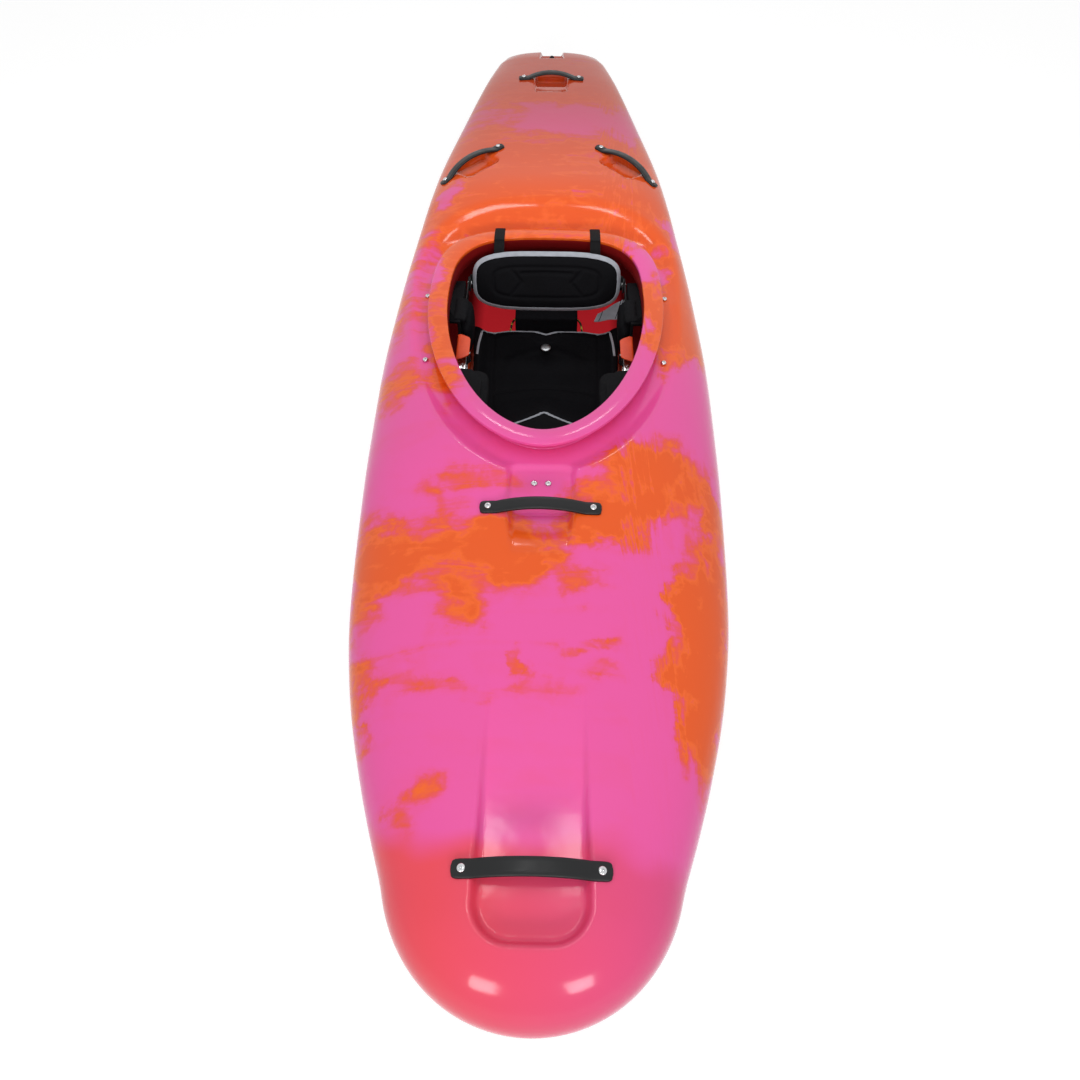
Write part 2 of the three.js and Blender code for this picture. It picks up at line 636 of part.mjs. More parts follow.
// A grab handle between two bolts: a flat pad under each and an arch between them.
function handle([first, second]) {
  const { pad, width, thickness, arch, edge, steps } = HANDLE;
  const across = second.place.clone().sub(first.place).normalize();
  const along = ({ normal }) => across.clone().addScaledVector(normal, -across.dot(normal)).normalize();
  const start = first.place.clone().addScaledVector(along(first), pad);
  const finish = second.place.clone().addScaledVector(along(second), -pad);
  const reach = start.distanceTo(finish) / 3;
  const curve = new THREE.CubicBezierCurve3(
    start,
    start.clone().addScaledVector(along(first), reach).addScaledVector(first.normal, arch),
    finish.clone().addScaledVector(along(second), -reach).addScaledVector(second.normal, arch),
    finish,
  );
  const ring = (point, normal, tangent, share) => {
    const side = new THREE.Vector3().crossVectors(normal, tangent).normalize();
    const half = (width / 2) * share;
    const corners = [
      [-half + edge, 0], [half - edge, 0], [half, edge], [half, thickness - edge],
      [half - edge, thickness], [-half + edge, thickness], [-half, thickness - edge], [-half, edge],
    ];
    return corners.map(([w, h]) => point.clone().addScaledVector(side, w).addScaledVector(normal, h + GAP));
  };
  const rings = [
    ring(first.place.clone().addScaledVector(along(first), -pad), first.normal, along(first), 1 / 2),
    ring(first.place.clone().addScaledVector(along(first), -pad / 2), first.normal, along(first), 1),
  ];
  for (let i = 0; i <= steps; i += 1) {
    const t = i / steps;
    const normal = first.normal.clone().lerp(second.normal, t).normalize();
    const tangent = curve.getTangent(t);
    const up = normal.addScaledVector(tangent, -normal.dot(tangent)).normalize();
    rings.push(ring(curve.getPoint(t), up, tangent, 1));
  }
  rings.push(
    ring(second.place.clone().addScaledVector(along(second), pad / 2), second.normal, along(second), 1),
    ring(second.place.clone().addScaledVector(along(second), pad), second.normal, along(second), 1 / 2),
  );
  return loft(rings).subtract(joined([first, second].map(boltHole)));
}

// Drain: a socket in the notch at the stern, and the plug that screws into it.
function drainSocket() {
  const { hole, collar, seatRadius, seatHeight, plugDepth } = DRAIN;
  const profile = [
    [hole, -plugDepth - GAP], [collar, -plugDepth - GAP], [collar, GAP], [seatRadius, GAP],
    [seatRadius, seatHeight + GAP], [hole, seatHeight + GAP], [hole, -plugDepth - GAP],
  ];
  return turned(profile, DRAIN.sides).translate([0, drainY, drainFloor]);
}
function drainPlug() {
  const { plugRadius, headRadius, headHeight, plugDepth } = DRAIN;
  const { seatHeight, finHeight, finThickness, finTop } = DRAIN;
  const under = seatHeight + 2 * GAP;
  const top = under + headHeight;
  const body = turned(
    [
      [0, -plugDepth], [plugRadius, -plugDepth], [plugRadius, under],
      [headRadius, under], [headRadius, top], [0, top],
    ],
    DRAIN.sides,
  );
  const fin = endPlate(
    [
      [-headRadius, top - GAP], [headRadius, top - GAP],
      [finTop, under + finHeight], [-finTop, under + finHeight],
    ],
    -finThickness / 2, finThickness / 2,
  );
  const kept = rod(headRadius - GAP, 0, under + finHeight + GAP, DRAIN.sides);
  return body.add(fin.intersect(kept)).translate([0, drainY, drainFloor]);
}

// A plate in the plane of y and z, from x0 to x1, and one in the plane of x and z, from y0 to y1.
function plateOn([first, second, third], outline, depth) {
  const shape = new THREE.Shape(outline.map(([a, b]) => new THREE.Vector2(a, b)));
  const flat = solid(new THREE.ExtrudeGeometry(shape, { depth, bevelEnabled: false }));
  return flat.transform(new THREE.Matrix4().makeBasis(first, second, third).elements);
}
const sidePlate = (outline, x0, x1) =>
  plateOn([axisY, axisZ, axisX], outline, x1 - x0).translate([x0, 0, 0]);
const endPlate = (outline, y0, y1) =>
  plateOn([axisX, axisZ, axisY.clone().negate()], outline, y1 - y0).translate([0, y1, 0]);

// A plate whose top follows a height over the plan, from convex [x, y] points.
const slab = (outline, topAt, thickness) =>
  loft([thickness, 0].map((drop) => outline.map(([x, y]) => new THREE.Vector3(x, y, topAt(y) - drop))));
const rectangle = (x0, x1, y0, y1) => [[x0, y0], [x1, y0], [x1, y1], [x0, y1]];

// A pillow about the origin: flat behind, with rounded edges and a crown towards +Z.
function pillow({ width, height, thickness, edge, crown, power = PILLOW.power }, count = PILLOW.sides) {
  const half = thickness / 2;
  const profile = [
    [edge, -half], [edge / 3, edge / 3 - half], [0, edge - half], [0, half - edge],
    [edge / 3, half - edge / 3], [edge, half], [Math.min(width, height) / 4, half + crown],
  ];
  const rings = profile.map(([inset, z]) =>
    Array.from({ length: count }, (_, i) => {
      const angle = (i / count) * 2 * Math.PI;
      const round = (value) => Math.sign(value) * Math.pow(Math.abs(value), 2 / power);
      return new THREE.Vector3(
        (width / 2 - inset) * round(Math.cos(angle)),
        (height / 2 - inset) * round(Math.sin(angle)),
        z,
      );
    }),
  );
  return loft(rings);
}

// Seat
const seatBase = WALL + GAP;
const seatFloor = seatBase + SEAT.wall;
const seatHalfWidth = BEAM * SEAT.halfWidthShare;
const seatFront = placeOf(SEAT.frontShare);
const seatRear = placeOf(SEAT.rearShare);
const wingOuter = seatHalfWidth + SEAT.wall;
const underPan = (y) => panHeight(y) - WALL - GAP;
const hangerFront = placeOf(HANGER.frontShare);
const hangerRear = placeOf(HANGER.rearShare);
function seatPan() {
  const wingTop = HEIGHT * WING.midHeightShare;
  const wing = sidePlate(
    [
      [placeOf(WING.frontShare), seatBase], [placeOf(WING.frontShare), HEIGHT * WING.lowHeightShare],
      [placeOf(WING.riseShare), wingTop], [hangerFront - SEAT.wall, wingTop],
      [hangerFront, underPan(hangerFront)], [hangerRear, underPan(hangerRear)],
      [seatRear, SEAT.rearWall], [seatRear, seatBase],
    ].reverse(),
    seatHalfWidth, wingOuter,
  );
  const hangerOuter = seatBolts[0].place.x + HANGER.boltMargin;
  const hanger = slab(rectangle(seatHalfWidth, hangerOuter, hangerFront, hangerRear), underPan, SEAT.wall);
  const side = wing.add(hanger);
  const floor = box(-wingOuter, wingOuter, seatFront, seatRear, seatBase, seatFloor);
  const rearWall = box(-wingOuter, wingOuter, seatRear - SEAT.wall, seatRear, seatBase, SEAT.rearWall);
  const screw = railScrewHole();
  const holes = joined([...seatBolts.map(boltHole), screw, mirrored(screw)]);
  return joined([floor, rearWall, side, mirrored(side)]).subtract(holes);
}
const seatBolt = bolt(seatBolts[0], 0, WALL + GAP + SEAT.wall + GAP);

// Steps from 0 to 1 that are closer near both ends.
const spread = (t) => THREE.MathUtils.lerp((1 - Math.cos(t * Math.PI)) / 2, t, GRID_EVEN_SHARE);

// A soft body over a grid. u runs from -1 to 1 across it and v from 0 to 1 towards the stern.
function softBody({ rows, columns }, place, bottomAt, topAt) {
  const grid = (heightAt) =>
    Array.from({ length: rows + 1 }, (_, j) =>
      Array.from({ length: columns + 1 }, (__, i) => {
        const u = 2 * spread(i / columns) - 1;
        const v = spread(j / rows);
        const [x, y] = place(u, v);
        return new THREE.Vector3(x, y, heightAt(u, v));
      }),
    );
  const points = [...grid(bottomAt).flat(), ...grid(topAt).flat()];
  const size = (rows + 1) * (columns + 1);
  const at = (i, j, layer) => layer * size + j * (columns + 1) + i;
  const faces = [];
  const quad = (a, b, c, d) => faces.push(a, b, c, a, c, d);
  for (let j = 0; j < rows; j += 1) {
    for (let i = 0; i < columns; i += 1) {
      quad(at(i, j, 1), at(i + 1, j, 1), at(i + 1, j + 1, 1), at(i, j + 1, 1));
      quad(at(i, j + 1, 0), at(i + 1, j + 1, 0), at(i + 1, j, 0), at(i, j, 0));
    }
    quad(at(0, j, 0), at(0, j, 1), at(0, j + 1, 1), at(0, j + 1, 0));
    quad(at(columns, j + 1, 0), at(columns, j + 1, 1), at(columns, j, 1), at(columns, j, 0));
  }
  for (let i = 0; i < columns; i += 1) {
    quad(at(i + 1, 0, 0), at(i + 1, 0, 1), at(i, 0, 1), at(i, 0, 0));
    quad(at(i, rows, 0), at(i, rows, 1), at(i + 1, rows, 1), at(i + 1, rows, 0));
  }
  const geometry = new THREE.BufferGeometry().setFromPoints(points);
  geometry.setIndex(faces);
  return solid(geometry);
}
const swell = (t) => {
  const fallen = Math.max(1 - Math.pow(Math.abs(t), SWELL_POWERS.edge), 0);
  return Math.pow(fallen, 1 / SWELL_POWERS.round);
};
const ease = (t) => {
  const kept = THREE.MathUtils.clamp(t, 0, 1);
  return kept * kept * (3 - 2 * kept);
};

// The line where the seat pad meets the leg lifter: a chevron with its point towards the stern.
const chevron = (x) => placeOf(SEAT_PAD.chevronShare) - SEAT_PAD.chevronRake * Math.abs(x);
function seatPad() {
  const { sideGap, frontTaper, thickness, edge, sideRise, rearRise, frontRise } = SEAT_PAD;
  const { borderShare, frontRiseShare, frontCrownShare, rearCrownShare } = SEAT_PAD;
  const border = (t) => ease((t - borderShare) / (1 - borderShare));
  const rearEdge = placeOf(SEAT_PAD.rearShare);
  const notch = SEAT_PAD.rearNotchShare * LENGTH;
  const place = (u, v) => {
    const x = u * (seatHalfWidth - sideGap - frontTaper * (1 - ease(2 * v)));
    const back = rearEdge - notch * (1 - Math.min(Math.abs(u) * 2, 1));
    return [x, chevron(x) + (back - chevron(x)) * v];
  };
  const bottom = (u) => seatFloor + GAP + sideRise * border(Math.abs(u));
  const top = (u, v) => {
    const front = ease((frontRiseShare - v) / frontRiseShare) * (1 - u * u * frontCrownShare);
    const rear = border(v) * (1 - u * u * rearCrownShare);
    const lift = rearRise * rear + frontRise * front;
    return bottom(u) + edge + (thickness - edge) * swell(u) * swell(2 * v - 1) + lift;
  };
  return softBody(SEAT_PAD, place, bottom, top);
}
function legLifter() {
  const front = placeOf(LEG_LIFTER.frontShare);
  const thickness = HEIGHT * LEG_LIFTER.thicknessShare;
  const edge = HEIGHT * LEG_LIFTER.edgeShare;
  const place = (u, v) => {
    const x = u * BEAM * LEG_LIFTER.halfWidthShare;
    return [x, front + (chevron(x) - LEG_LIFTER.gap - front) * v];
  };
  const top = (u, v) => seatFloor + GAP + edge + (thickness - edge) * swell(u) * swell(v - 1);
  return softBody(LEG_LIFTER, place, () => seatFloor + GAP, top);
}
const topUnder = (made, x, y, reach) => {
  const post = box(x - reach, x + reach, y - reach, y + reach, 0, LENGTH);
  return made.intersect(post).boundingBox().max[2];
};
function seatButton(pad) {
  const { share, radius, height, sides } = SEAT_BUTTON;
  const y = placeOf(share);
  return rod(radius, 0, height, sides).translate([0, y, topUnder(pad, 0, y, radius) + GAP]);
}

// Thigh braces under the front corners of the cockpit, and the pads beneath them.
function thighBrace() {
  const reach = braceBolts[0].place.x;
  const outline = THIGH_BRACE.outlineShares.map(([across, share]) => [across * reach, placeOf(share)]);
  return slab(outline, underPan, THIGH_BRACE.thickness).subtract(boltHole(braceBolts[0]));
}
const braceBolt = bolt(braceBolts[0], 0, WALL + GAP + THIGH_BRACE.thickness + GAP);
function thighPad() {
  const y = placeOf(THIGH_PAD.share);
  const drop = THIGH_BRACE.thickness + GAP + THIGH_PAD.thickness / 2;
  const under = new THREE.Vector3(BEAM * THIGH_PAD.acrossShare, y, underPan(y));
  const place = under.addScaledVector(rimNormal, -drop);
  const size = { width: BEAM * THIGH_PAD.widthShare, height: LENGTH * THIGH_PAD.lengthShare };
  return standing(pillow({ ...THIGH_PAD, ...size }, PILLOW.smallSides), place, rimNormal.clone().negate());
}

// Widths across the boat, from a wing inwards: the ratchet's base, the ladder strap and the backrest's ear.
const ratchetOuter = seatHalfWidth - GAP;
const ratchetInner = ratchetOuter - RATCHET.base;
const strapOuter = ratchetInner - GAP;
const strapInner = strapOuter - LADDER.thickness;
const earOuter = strapInner - GAP;
const earInner = earOuter - BACKREST.earThickness;
const backrestHalfWidth = earInner - BACKREST.endClearance;
const backrestPlace = new THREE.Vector3(0, placeOf(BACKREST.share), HEIGHT * BACKREST.centreShare);
const backrestNormal = new THREE.Vector3(0, -Math.cos(BACKREST.lean), Math.sin(BACKREST.lean));
const backrestUp = new THREE.Vector3(0, Math.sin(BACKREST.lean), Math.cos(BACKREST.lean));

function hipPad() {
  const { thickness, edge, channel } = HIP_PAD;
  const y = placeOf(HIP_PAD.share);
  const length = LENGTH * HIP_PAD.lengthShare;
  const [low, high] = [HEIGHT * HIP_PAD.lowShare, HEIGHT * HIP_PAD.highShare];
  const outer = seatHalfWidth - GAP;
  const place = new THREE.Vector3(outer - thickness / 2, y, (low + high) / 2);
  const cushion = pillow({ ...HIP_PAD, width: length, height: high - low }, PILLOW.smallSides);
  const main = standing(cushion, place, axisX.clone().negate(), axisY);
  const ends = [y - length / 2 + edge, y + length / 2 - edge];
  const flapTop = (at) => underPan(at) + GAP + HIP_PAD.flapThickness;
  const inner = outer - HIP_PAD.webThickness;
  const web = slab(rectangle(inner, outer, ...ends), flapTop, HIP_PAD.webDepth);
  const flap = slab(rectangle(inner, outer + HIP_PAD.flapReach, ...ends), flapTop, HIP_PAD.flapThickness);
  const half = LADDER.width / 2 + channel;
  const groove = box(
    strapInner - channel, seatHalfWidth, y - length, y + length,
    backrestPlace.z - half, backrestPlace.z + half,
  );
  return joined([main, web, flap]).subtract(groove);
}

// Backrest
const crossRod = (radius, x0, x1, y, z, sides) =>
  rod(radius, x0, x1, sides).rotate([0, 90, 0]).translate([0, y, z]);
function backrestPad() {
  const size = { width: 2 * backrestHalfWidth, height: HEIGHT * BACKREST.heightShare };
  const cushion = pillow({ ...BACKREST, ...size }, PILLOW.largeSides);
  const raised = backrestPlace.clone().addScaledVector(backrestUp, HEIGHT * BACKREST.riseShare);
  return standing(cushion, raised, backrestNormal);
}
function backrestShell() {
  const { thickness, shellThickness, shellMargin, armHeight, earReach } = BACKREST;
  const rear = -thickness / 2 - GAP - shellThickness;
  const size = [backrestHalfWidth - shellMargin, (HEIGHT * BACKREST.plateShare) / 2 - shellMargin];
  const plate = loft(
    [rear, rear + shellThickness].map((z) =>
      Array.from({ length: PILLOW.sides }, (_, i) => {
        const angle = (i / PILLOW.sides) * 2 * Math.PI;
        const round = (value) => Math.sign(value) * Math.sqrt(Math.abs(value));
        return new THREE.Vector3(size[0] * round(Math.cos(angle)), size[1] * round(Math.sin(angle)), z);
      }),
    ),
  );
  const arm = box(-earOuter, earOuter, -armHeight / 2, armHeight / 2, rear, rear + shellThickness);
  const ear = box(earInner, earOuter, -armHeight / 2, armHeight / 2, rear, earReach);
  const hole = rod(RIVET.radius + HOLE_CLEARANCE, -LENGTH, LENGTH, RIVET.sides).rotate([0, 90, 0]);
  const made = joined([plate, arm, ear, mirrored(ear)]).subtract(hole);
  return standing(made, backrestPlace, backrestNormal);
}
const strapZ = [-1, 1].map((side) => backrestPlace.z + (side * LADDER.width) / 2);
const ratchetY = placeOf(RATCHET.share);
const ratchetEnds = [ratchetY - RATCHET.length / 2, ratchetY + RATCHET.length / 2];
function ladderStrap() {
  const front = ratchetEnds[0] - LADDER.tail;
  const rear = backrestPlace.y + LADDER.rearReach;
  const corner = LADDER.width / 4;
  const outline = [
    [front, strapZ[0] + corner], [front + corner, strapZ[0]],
    [rear - corner, strapZ[0]], [rear, strapZ[0] + corner],
    [rear, strapZ[1] - corner], [rear - corner, strapZ[1]],
    [front + corner, strapZ[1]], [front, strapZ[1] - corner],
  ];
  const hole = crossRod(
    RIVET.radius + HOLE_CLEARANCE, 0, LENGTH, backrestPlace.y, backrestPlace.z, RIVET.sides,
  );
  return sidePlate(outline, strapInner, strapOuter).subtract(hole);
}
function strapRivet() {
  const { radius, head, headHeight, sides } = RIVET;
  const inner = earInner - GAP;
  const outer = strapOuter + GAP;
  const profile = [
    [0, inner - headHeight], [head, inner - headHeight], [head, inner], [radius, inner],
    [radius, outer], [head, outer], [head, outer + headHeight], [0, outer + headHeight],
  ];
  return turned(profile, sides).rotate([0, 90, 0]).translate([0, backrestPlace.y, backrestPlace.z]);
}

// Webbing straps that hold the backrest up, from behind its shell and over the rear of the rim.
function ribbon(path, thickness, x0, x1) {
  const points = path.map(([y, z]) => new THREE.Vector2(y, z));
  const offset = (i, side) => {
    const before = points[Math.max(i - 1, 0)];
    const after = points[Math.min(i + 1, points.length - 1)];
    const step = after.clone().sub(before).normalize();
    return [points[i].x - (step.y * side * thickness) / 2, points[i].y + (step.x * side * thickness) / 2];
  };
  const outline = [...points.map((_, i) => offset(i, -1)), ...points.map((_, i) => offset(i, 1)).reverse()];
  return sidePlate(outline, x0, x1);
}
function rearStrap() {
  const { width, thickness, foot, clearance, climb, rimLift, hookDrop, hookReach } = REAR_STRAP;
  const across = BEAM * REAR_STRAP.acrossShare;
  const rear = BACKREST.thickness / 2 + GAP + BACKREST.shellThickness + clearance + thickness / 2;
  const behind = (up, out) => {
    const point = backrestPlace.clone().addScaledVector(backrestUp, up);
    point.addScaledVector(backrestNormal, -rear - out);
    return [point.y, point.z];
  };
  const rimAt = (x, offset) => {
    const share = 1 - Math.pow(x / (cockpitHalfWidth + offset), COCKPIT.rearPower);
    return cockpitWidest + Math.pow(share, 1 / COCKPIT.rearPower) * (rearReach + offset);
  };
  const inside = rimAt(across + width / 2, 0) - 2 * thickness;
  const outside = rimAt(across - width / 2, COAMING.flange) + thickness;
  const over = rimLift + thickness / 2;
  const path = [
    behind(-foot, 0), behind(foot, 0), behind(climb / 2, thickness),
    [inside - climb, rimHeight(inside) - climb / 2],
    [inside - thickness, rimHeight(inside) - thickness], [inside + 2 * thickness, rimHeight(inside) + over],
    [outside - 2 * thickness, rimHeight(outside) + over + thickness / 2],
    [outside, rimHeight(outside) - thickness], [outside, rimHeight(outside) - hookDrop],
    [outside - thickness, rimHeight(outside) - hookDrop - thickness],
    [outside - hookReach, rimHeight(outside) - hookDrop - thickness],
  ];
  return ribbon(path, thickness, across - width / 2, across + width / 2);
}

// Ratchets on the inner faces of the wings
function ratchetFrame() {
  const { base, cheek, cheekReach, innerWidth } = RATCHET;
  const half = innerWidth / 2 + cheek;
  const outer = box(ratchetInner - cheekReach, ratchetOuter, ...ratchetEnds, -half, half);
  const inner = box(
    ratchetInner - cheekReach - base, ratchetInner, ratchetEnds[0] - base, ratchetEnds[1] + base,
    -innerWidth / 2, innerWidth / 2,
  );
  const pins = [leverPin, releasePin].map(([x, y]) =>
    rod(RATCHET.pin + HOLE_CLEARANCE, -OVERRUN, OVERRUN, RATCHET.sides).translate([x, y, 0]),
  );
  return outer.subtract(inner).subtract(joined(pins)).translate([0, 0, backrestPlace.z]);
}
const leverPin = [ratchetInner - RATCHET.leverPin, ratchetY + RATCHET.leverAt];
const releasePin = [ratchetInner - RATCHET.releasePin, ratchetY + RATCHET.releaseAt];
function pivoted(hub, blade, [x, y]) {
  const { innerWidth, cheek, leverWidth, sides, pin } = RATCHET;
  const pinReach = innerWidth / 2 + cheek + GAP;
  const barrel = rod(hub, -leverWidth / 2, leverWidth / 2, sides);
  const made = joined([barrel, rod(pin, -pinReach, pinReach, sides), blade]);
  return made.translate([x, y, backrestPlace.z]);
}
function ratchetLever() {
  const { leverLength, leverThickness, leverWidth, hub } = RATCHET;
  const half = leverThickness / 2;
  const blade = box(-half, half, -leverLength, 0, -leverWidth / 2, leverWidth / 2);
  return pivoted(hub, blade, leverPin);
}
function ratchetRelease() {
  const { releaseLength, releaseThickness, releaseHub, releaseLift, leverWidth } = RATCHET;
  const half = releaseThickness / 2;
  const blade = box(-half, half, 0, releaseLength, -leverWidth / 2, leverWidth / 2);
  return pivoted(releaseHub, blade.rotate([0, 0, THREE.MathUtils.radToDeg(releaseLift)]), releasePin);
}

// Footrest
const footrestY = placeOf(FOOTREST.share);
const railInner = wingOuter + GAP;
const railOuter = railInner + RAIL.thickness;
const railLow = HEIGHT * RAIL.lowShare;
const railTop = railLow + RAIL.height;
function railScrewHole() {
  const [y, z] = [placeOf(RAIL.screwShare), railLow + RAIL.height / 2];
  return crossRod(RAIL_SCREW.radius + HOLE_CLEARANCE, 0, LENGTH, y, z, RAIL_SCREW.sides);
}
function footrestRail() {
  const rail = box(railInner, railOuter, placeOf(RAIL.frontShare), placeOf(RAIL.rearShare), railLow, railTop);
  return rail.subtract(railScrewHole());
}
function railScrew() {
  const { radius, head, headHeight, nutHeight, sides } = RAIL_SCREW;
  const inner = seatHalfWidth - GAP;
  const outer = railOuter + GAP;
  const profile = [
    [0, inner - headHeight], [head, inner - headHeight], [head, inner], [radius, inner],
    [radius, outer], [head, outer], [head, outer + nutHeight], [0, outer + nutHeight],
  ];
  const y = placeOf(RAIL.screwShare);
  return turned(profile, sides).rotate([0, 90, 0]).translate([0, y, railLow + RAIL.height / 2]);
}
const footrestSize = { width: 2 * (seatHalfWidth - FOOTREST.sideGap), height: HEIGHT * FOOTREST.heightShare };
const footrestMiddle = HEIGHT * FOOTREST.lowShare + footrestSize.height / 2;
function footrestPlate() {
  const { shoeWall, shoeLength, slack } = FOOTREST;
  const plate = pillow({ ...FOOTREST, ...footrestSize, crown: 0 });
  const place = new THREE.Vector3(0, footrestY, footrestMiddle);
  const upright = standing(plate, place, axisY);
  const shoe = box(
    footrestSize.width / 2 - shoeWall, railOuter + slack + shoeWall,
    footrestY - shoeLength / 2, footrestY + shoeLength / 2,
    railLow - slack - shoeWall, railTop + slack + shoeWall,
  );
  const slot = box(
    railInner - slack, railOuter + slack, footrestY - shoeLength, footrestY + shoeLength,
    railLow - slack, railTop + slack,
  );
  const carrier = shoe.subtract(slot);
  return joined([upright.subtract(slot).subtract(mirrored(slot)), carrier, mirrored(carrier)]);
}
function footrestPad() {
  const { thickness, margin } = FOOTREST_PAD;
  const size = { width: footrestSize.width - 2 * margin, height: footrestSize.height - 2 * margin };
  const place = new THREE.Vector3(0, footrestY + (FOOTREST.thickness + thickness) / 2 + GAP, footrestMiddle);
  return standing(pillow({ ...FOOTREST_PAD, ...size }), place, axisY);
}

// Foam pillars: slabs of foam cut to the inside of the shell
const within = (made) => made.intersect(hollow(WALL + GAP));
function pillar({ frontShare, rearShare, halfThickness }) {
  const [front, rear] = [placeOf(frontShare), placeOf(rearShare)];
  return within(box(-halfThickness, halfThickness, front, rear, -HEIGHT, 2 * HEIGHT));
}
const blockHalfWidth = BEAM * PILLAR_BLOCK.halfWidthShare;
function pillarBlock() {
  const rear = placeOf(STERN_PILLAR.frontShare) - GAP;
  const height = HEIGHT * PILLAR_BLOCK.heightShare;
  return within(box(-blockHalfWidth, blockHalfWidth, placeOf(PILLAR_BLOCK.frontShare), rear, 0, height));
}
function tieCord() {
  const { radius, sides, steps, knot, knotSegments } = TIE_CORD;
  const height = HEIGHT * TIE_CORD.heightShare;
  const across = BEAM * TIE_CORD.acrossShare;
  const blockSide = blockHalfWidth + GAP + radius;
  const rear = (placeOf(PILLAR_BLOCK.frontShare) + placeOf(STERN_PILLAR.frontShare)) / 2;
  const front = seatRear + GAP + knot;
  const low = (SEAT.rearWall + seatFloor) / 2;
  const curve = new THREE.CatmullRomCurve3([
    new THREE.Vector3(blockSide, rear, height),
    new THREE.Vector3((blockSide + across) / 2, (rear + front) / 2 + radius, height),
    new THREE.Vector3(across, front, low),
  ]);
  const circle = new THREE.Shape(
    Array.from({ length: sides }, (_, i) => {
      const angle = (i / sides) * 2 * Math.PI;
      return new THREE.Vector2(radius * Math.cos(angle), radius * Math.sin(angle));
    }),
  );
  const tube = solid(new THREE.ExtrudeGeometry(circle, { steps, extrudePath: curve }));
  const bead = solid(new THREE.SphereGeometry(knot, knotSegments, knotSegments / 2));
  return tube.add(bead.translate([across, front, low]));
}

addPart("drain_socket", drainSocket(), "plug");
addPart("drain_plug", drainPlug(), "plug");
addPart("seat_pan", seatPan(), "seat");
addPair("seat_bolt", seatBolt, "steel");
const pad = seatPad();
addPart("seat_pad", pad, "pad");
addPart("seat_button", seatButton(pad), "rail");
addPart("leg_lifter", legLifter(), "pad");
addPair("thigh_brace", thighBrace(), "strap");
addPair("thigh_brace_bolt", braceBolt, "steel");
addPair("thigh_pad", thighPad(), "pad");
addPair("hip_pad", hipPad(), "pad");
addPart("backrest_pad", backrestPad(), "pad");
addPart("backrest_shell", backrestShell(), "strap");
addPair("ladder_strap", ladderStrap(), "strap");
addPair("strap_rivet", strapRivet(), "steel");
addPair("rear_strap", rearStrap(), "webbing");
addPair("ratchet_frame", ratchetFrame(), "steel");
addPair("ratchet_lever", ratchetLever(), "steel");
addPair("ratchet_release", ratchetRelease(), "steel");
addPair("footrest_rail", footrestRail(), "rail");
addPair("rail_screw", railScrew(), "steel");
addPart("footrest_plate", footrestPlate(), "strap");
addPart("footrest_pad", footrestPad(), "foam");
addPart("bow_pillar", pillar(BOW_PILLAR), "foam");
addPart("stern_pillar", pillar(STERN_PILLAR), "foam");
addPart("pillar_block", pillarBlock(), "foam");
addPair("tie_cord", tieCord(), "bungee");

export default kayak;
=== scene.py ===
# %% [markdown]
# # A whitewater kayak
# The boat is one hollow moulded shell with a cockpit in it. Everything else is bolted or strapped to the
# shell: grab handles, a padded seat, a backrest on ratchet straps, a footrest and foam pillars. The packed
# model gives the frame: it is in metres, +Z is up, the bow points to -Y and the paddler's left is +X.

# %% Load the frame
import math
from contextlib import contextmanager

import bmesh
import bpy
import numpy as np
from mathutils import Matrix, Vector
from mathutils.bvhtree import BVHTree


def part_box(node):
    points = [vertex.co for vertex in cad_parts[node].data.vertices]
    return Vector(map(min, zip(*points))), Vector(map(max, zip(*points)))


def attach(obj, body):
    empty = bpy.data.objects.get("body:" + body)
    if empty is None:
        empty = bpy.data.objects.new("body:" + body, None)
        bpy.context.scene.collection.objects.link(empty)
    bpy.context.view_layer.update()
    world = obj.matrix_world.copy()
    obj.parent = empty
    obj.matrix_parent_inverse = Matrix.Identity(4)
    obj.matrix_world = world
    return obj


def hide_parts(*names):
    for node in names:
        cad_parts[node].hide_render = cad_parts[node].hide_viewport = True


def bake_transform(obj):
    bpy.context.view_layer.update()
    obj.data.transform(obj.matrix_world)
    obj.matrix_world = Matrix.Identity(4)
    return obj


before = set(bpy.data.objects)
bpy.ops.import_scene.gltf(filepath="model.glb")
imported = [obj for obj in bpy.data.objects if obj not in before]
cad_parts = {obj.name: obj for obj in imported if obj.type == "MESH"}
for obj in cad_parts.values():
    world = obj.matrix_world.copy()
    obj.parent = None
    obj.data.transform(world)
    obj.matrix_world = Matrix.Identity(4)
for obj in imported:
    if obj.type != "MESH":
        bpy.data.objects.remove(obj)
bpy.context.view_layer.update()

# %% [markdown]
# ## The camera
# The photograph is taken from above the bow, looking down and towards the stern with a short lens, so the
# bow looks wide and the stern narrow. A camera at the same place gives the same perspective, which no crop
# could.

# %% Camera
CAMERA_AT = (0.016, -1.448, 1.4875)
CAMERA_LIFT, CAMERA_SWING = math.radians(34.35), math.radians(1.13)
lens = bpy.data.cameras.new("above_the_bow")
lens.sensor_width = 36
lens.lens = 26.93
camera = bpy.data.objects.new("above_the_bow", lens)
bpy.context.collection.objects.link(camera)
camera.location = CAMERA_AT
camera.rotation_euler = (CAMERA_LIFT, 0, CAMERA_SWING)
bpy.context.scene.camera = camera
print("field of view", round(math.degrees(lens.angle), 1), "degrees")

# %% [markdown]
# ## Colour and nodes
# Colours are written as they look on a screen (sRGB). A shader works with linear light, so one function
# turns them. The others add a node with its settings and links, which is all that the materials below
# need.

# %% Colour and node helpers
def linear(code):
    parts = [int(code[i:i + 2], 16) / 255 for i in (1, 3, 5)]
    return (*[c / 12.92 if c <= 0.04045 else ((c + 0.055) / 1.055) ** 2.4 for c in parts], 1)


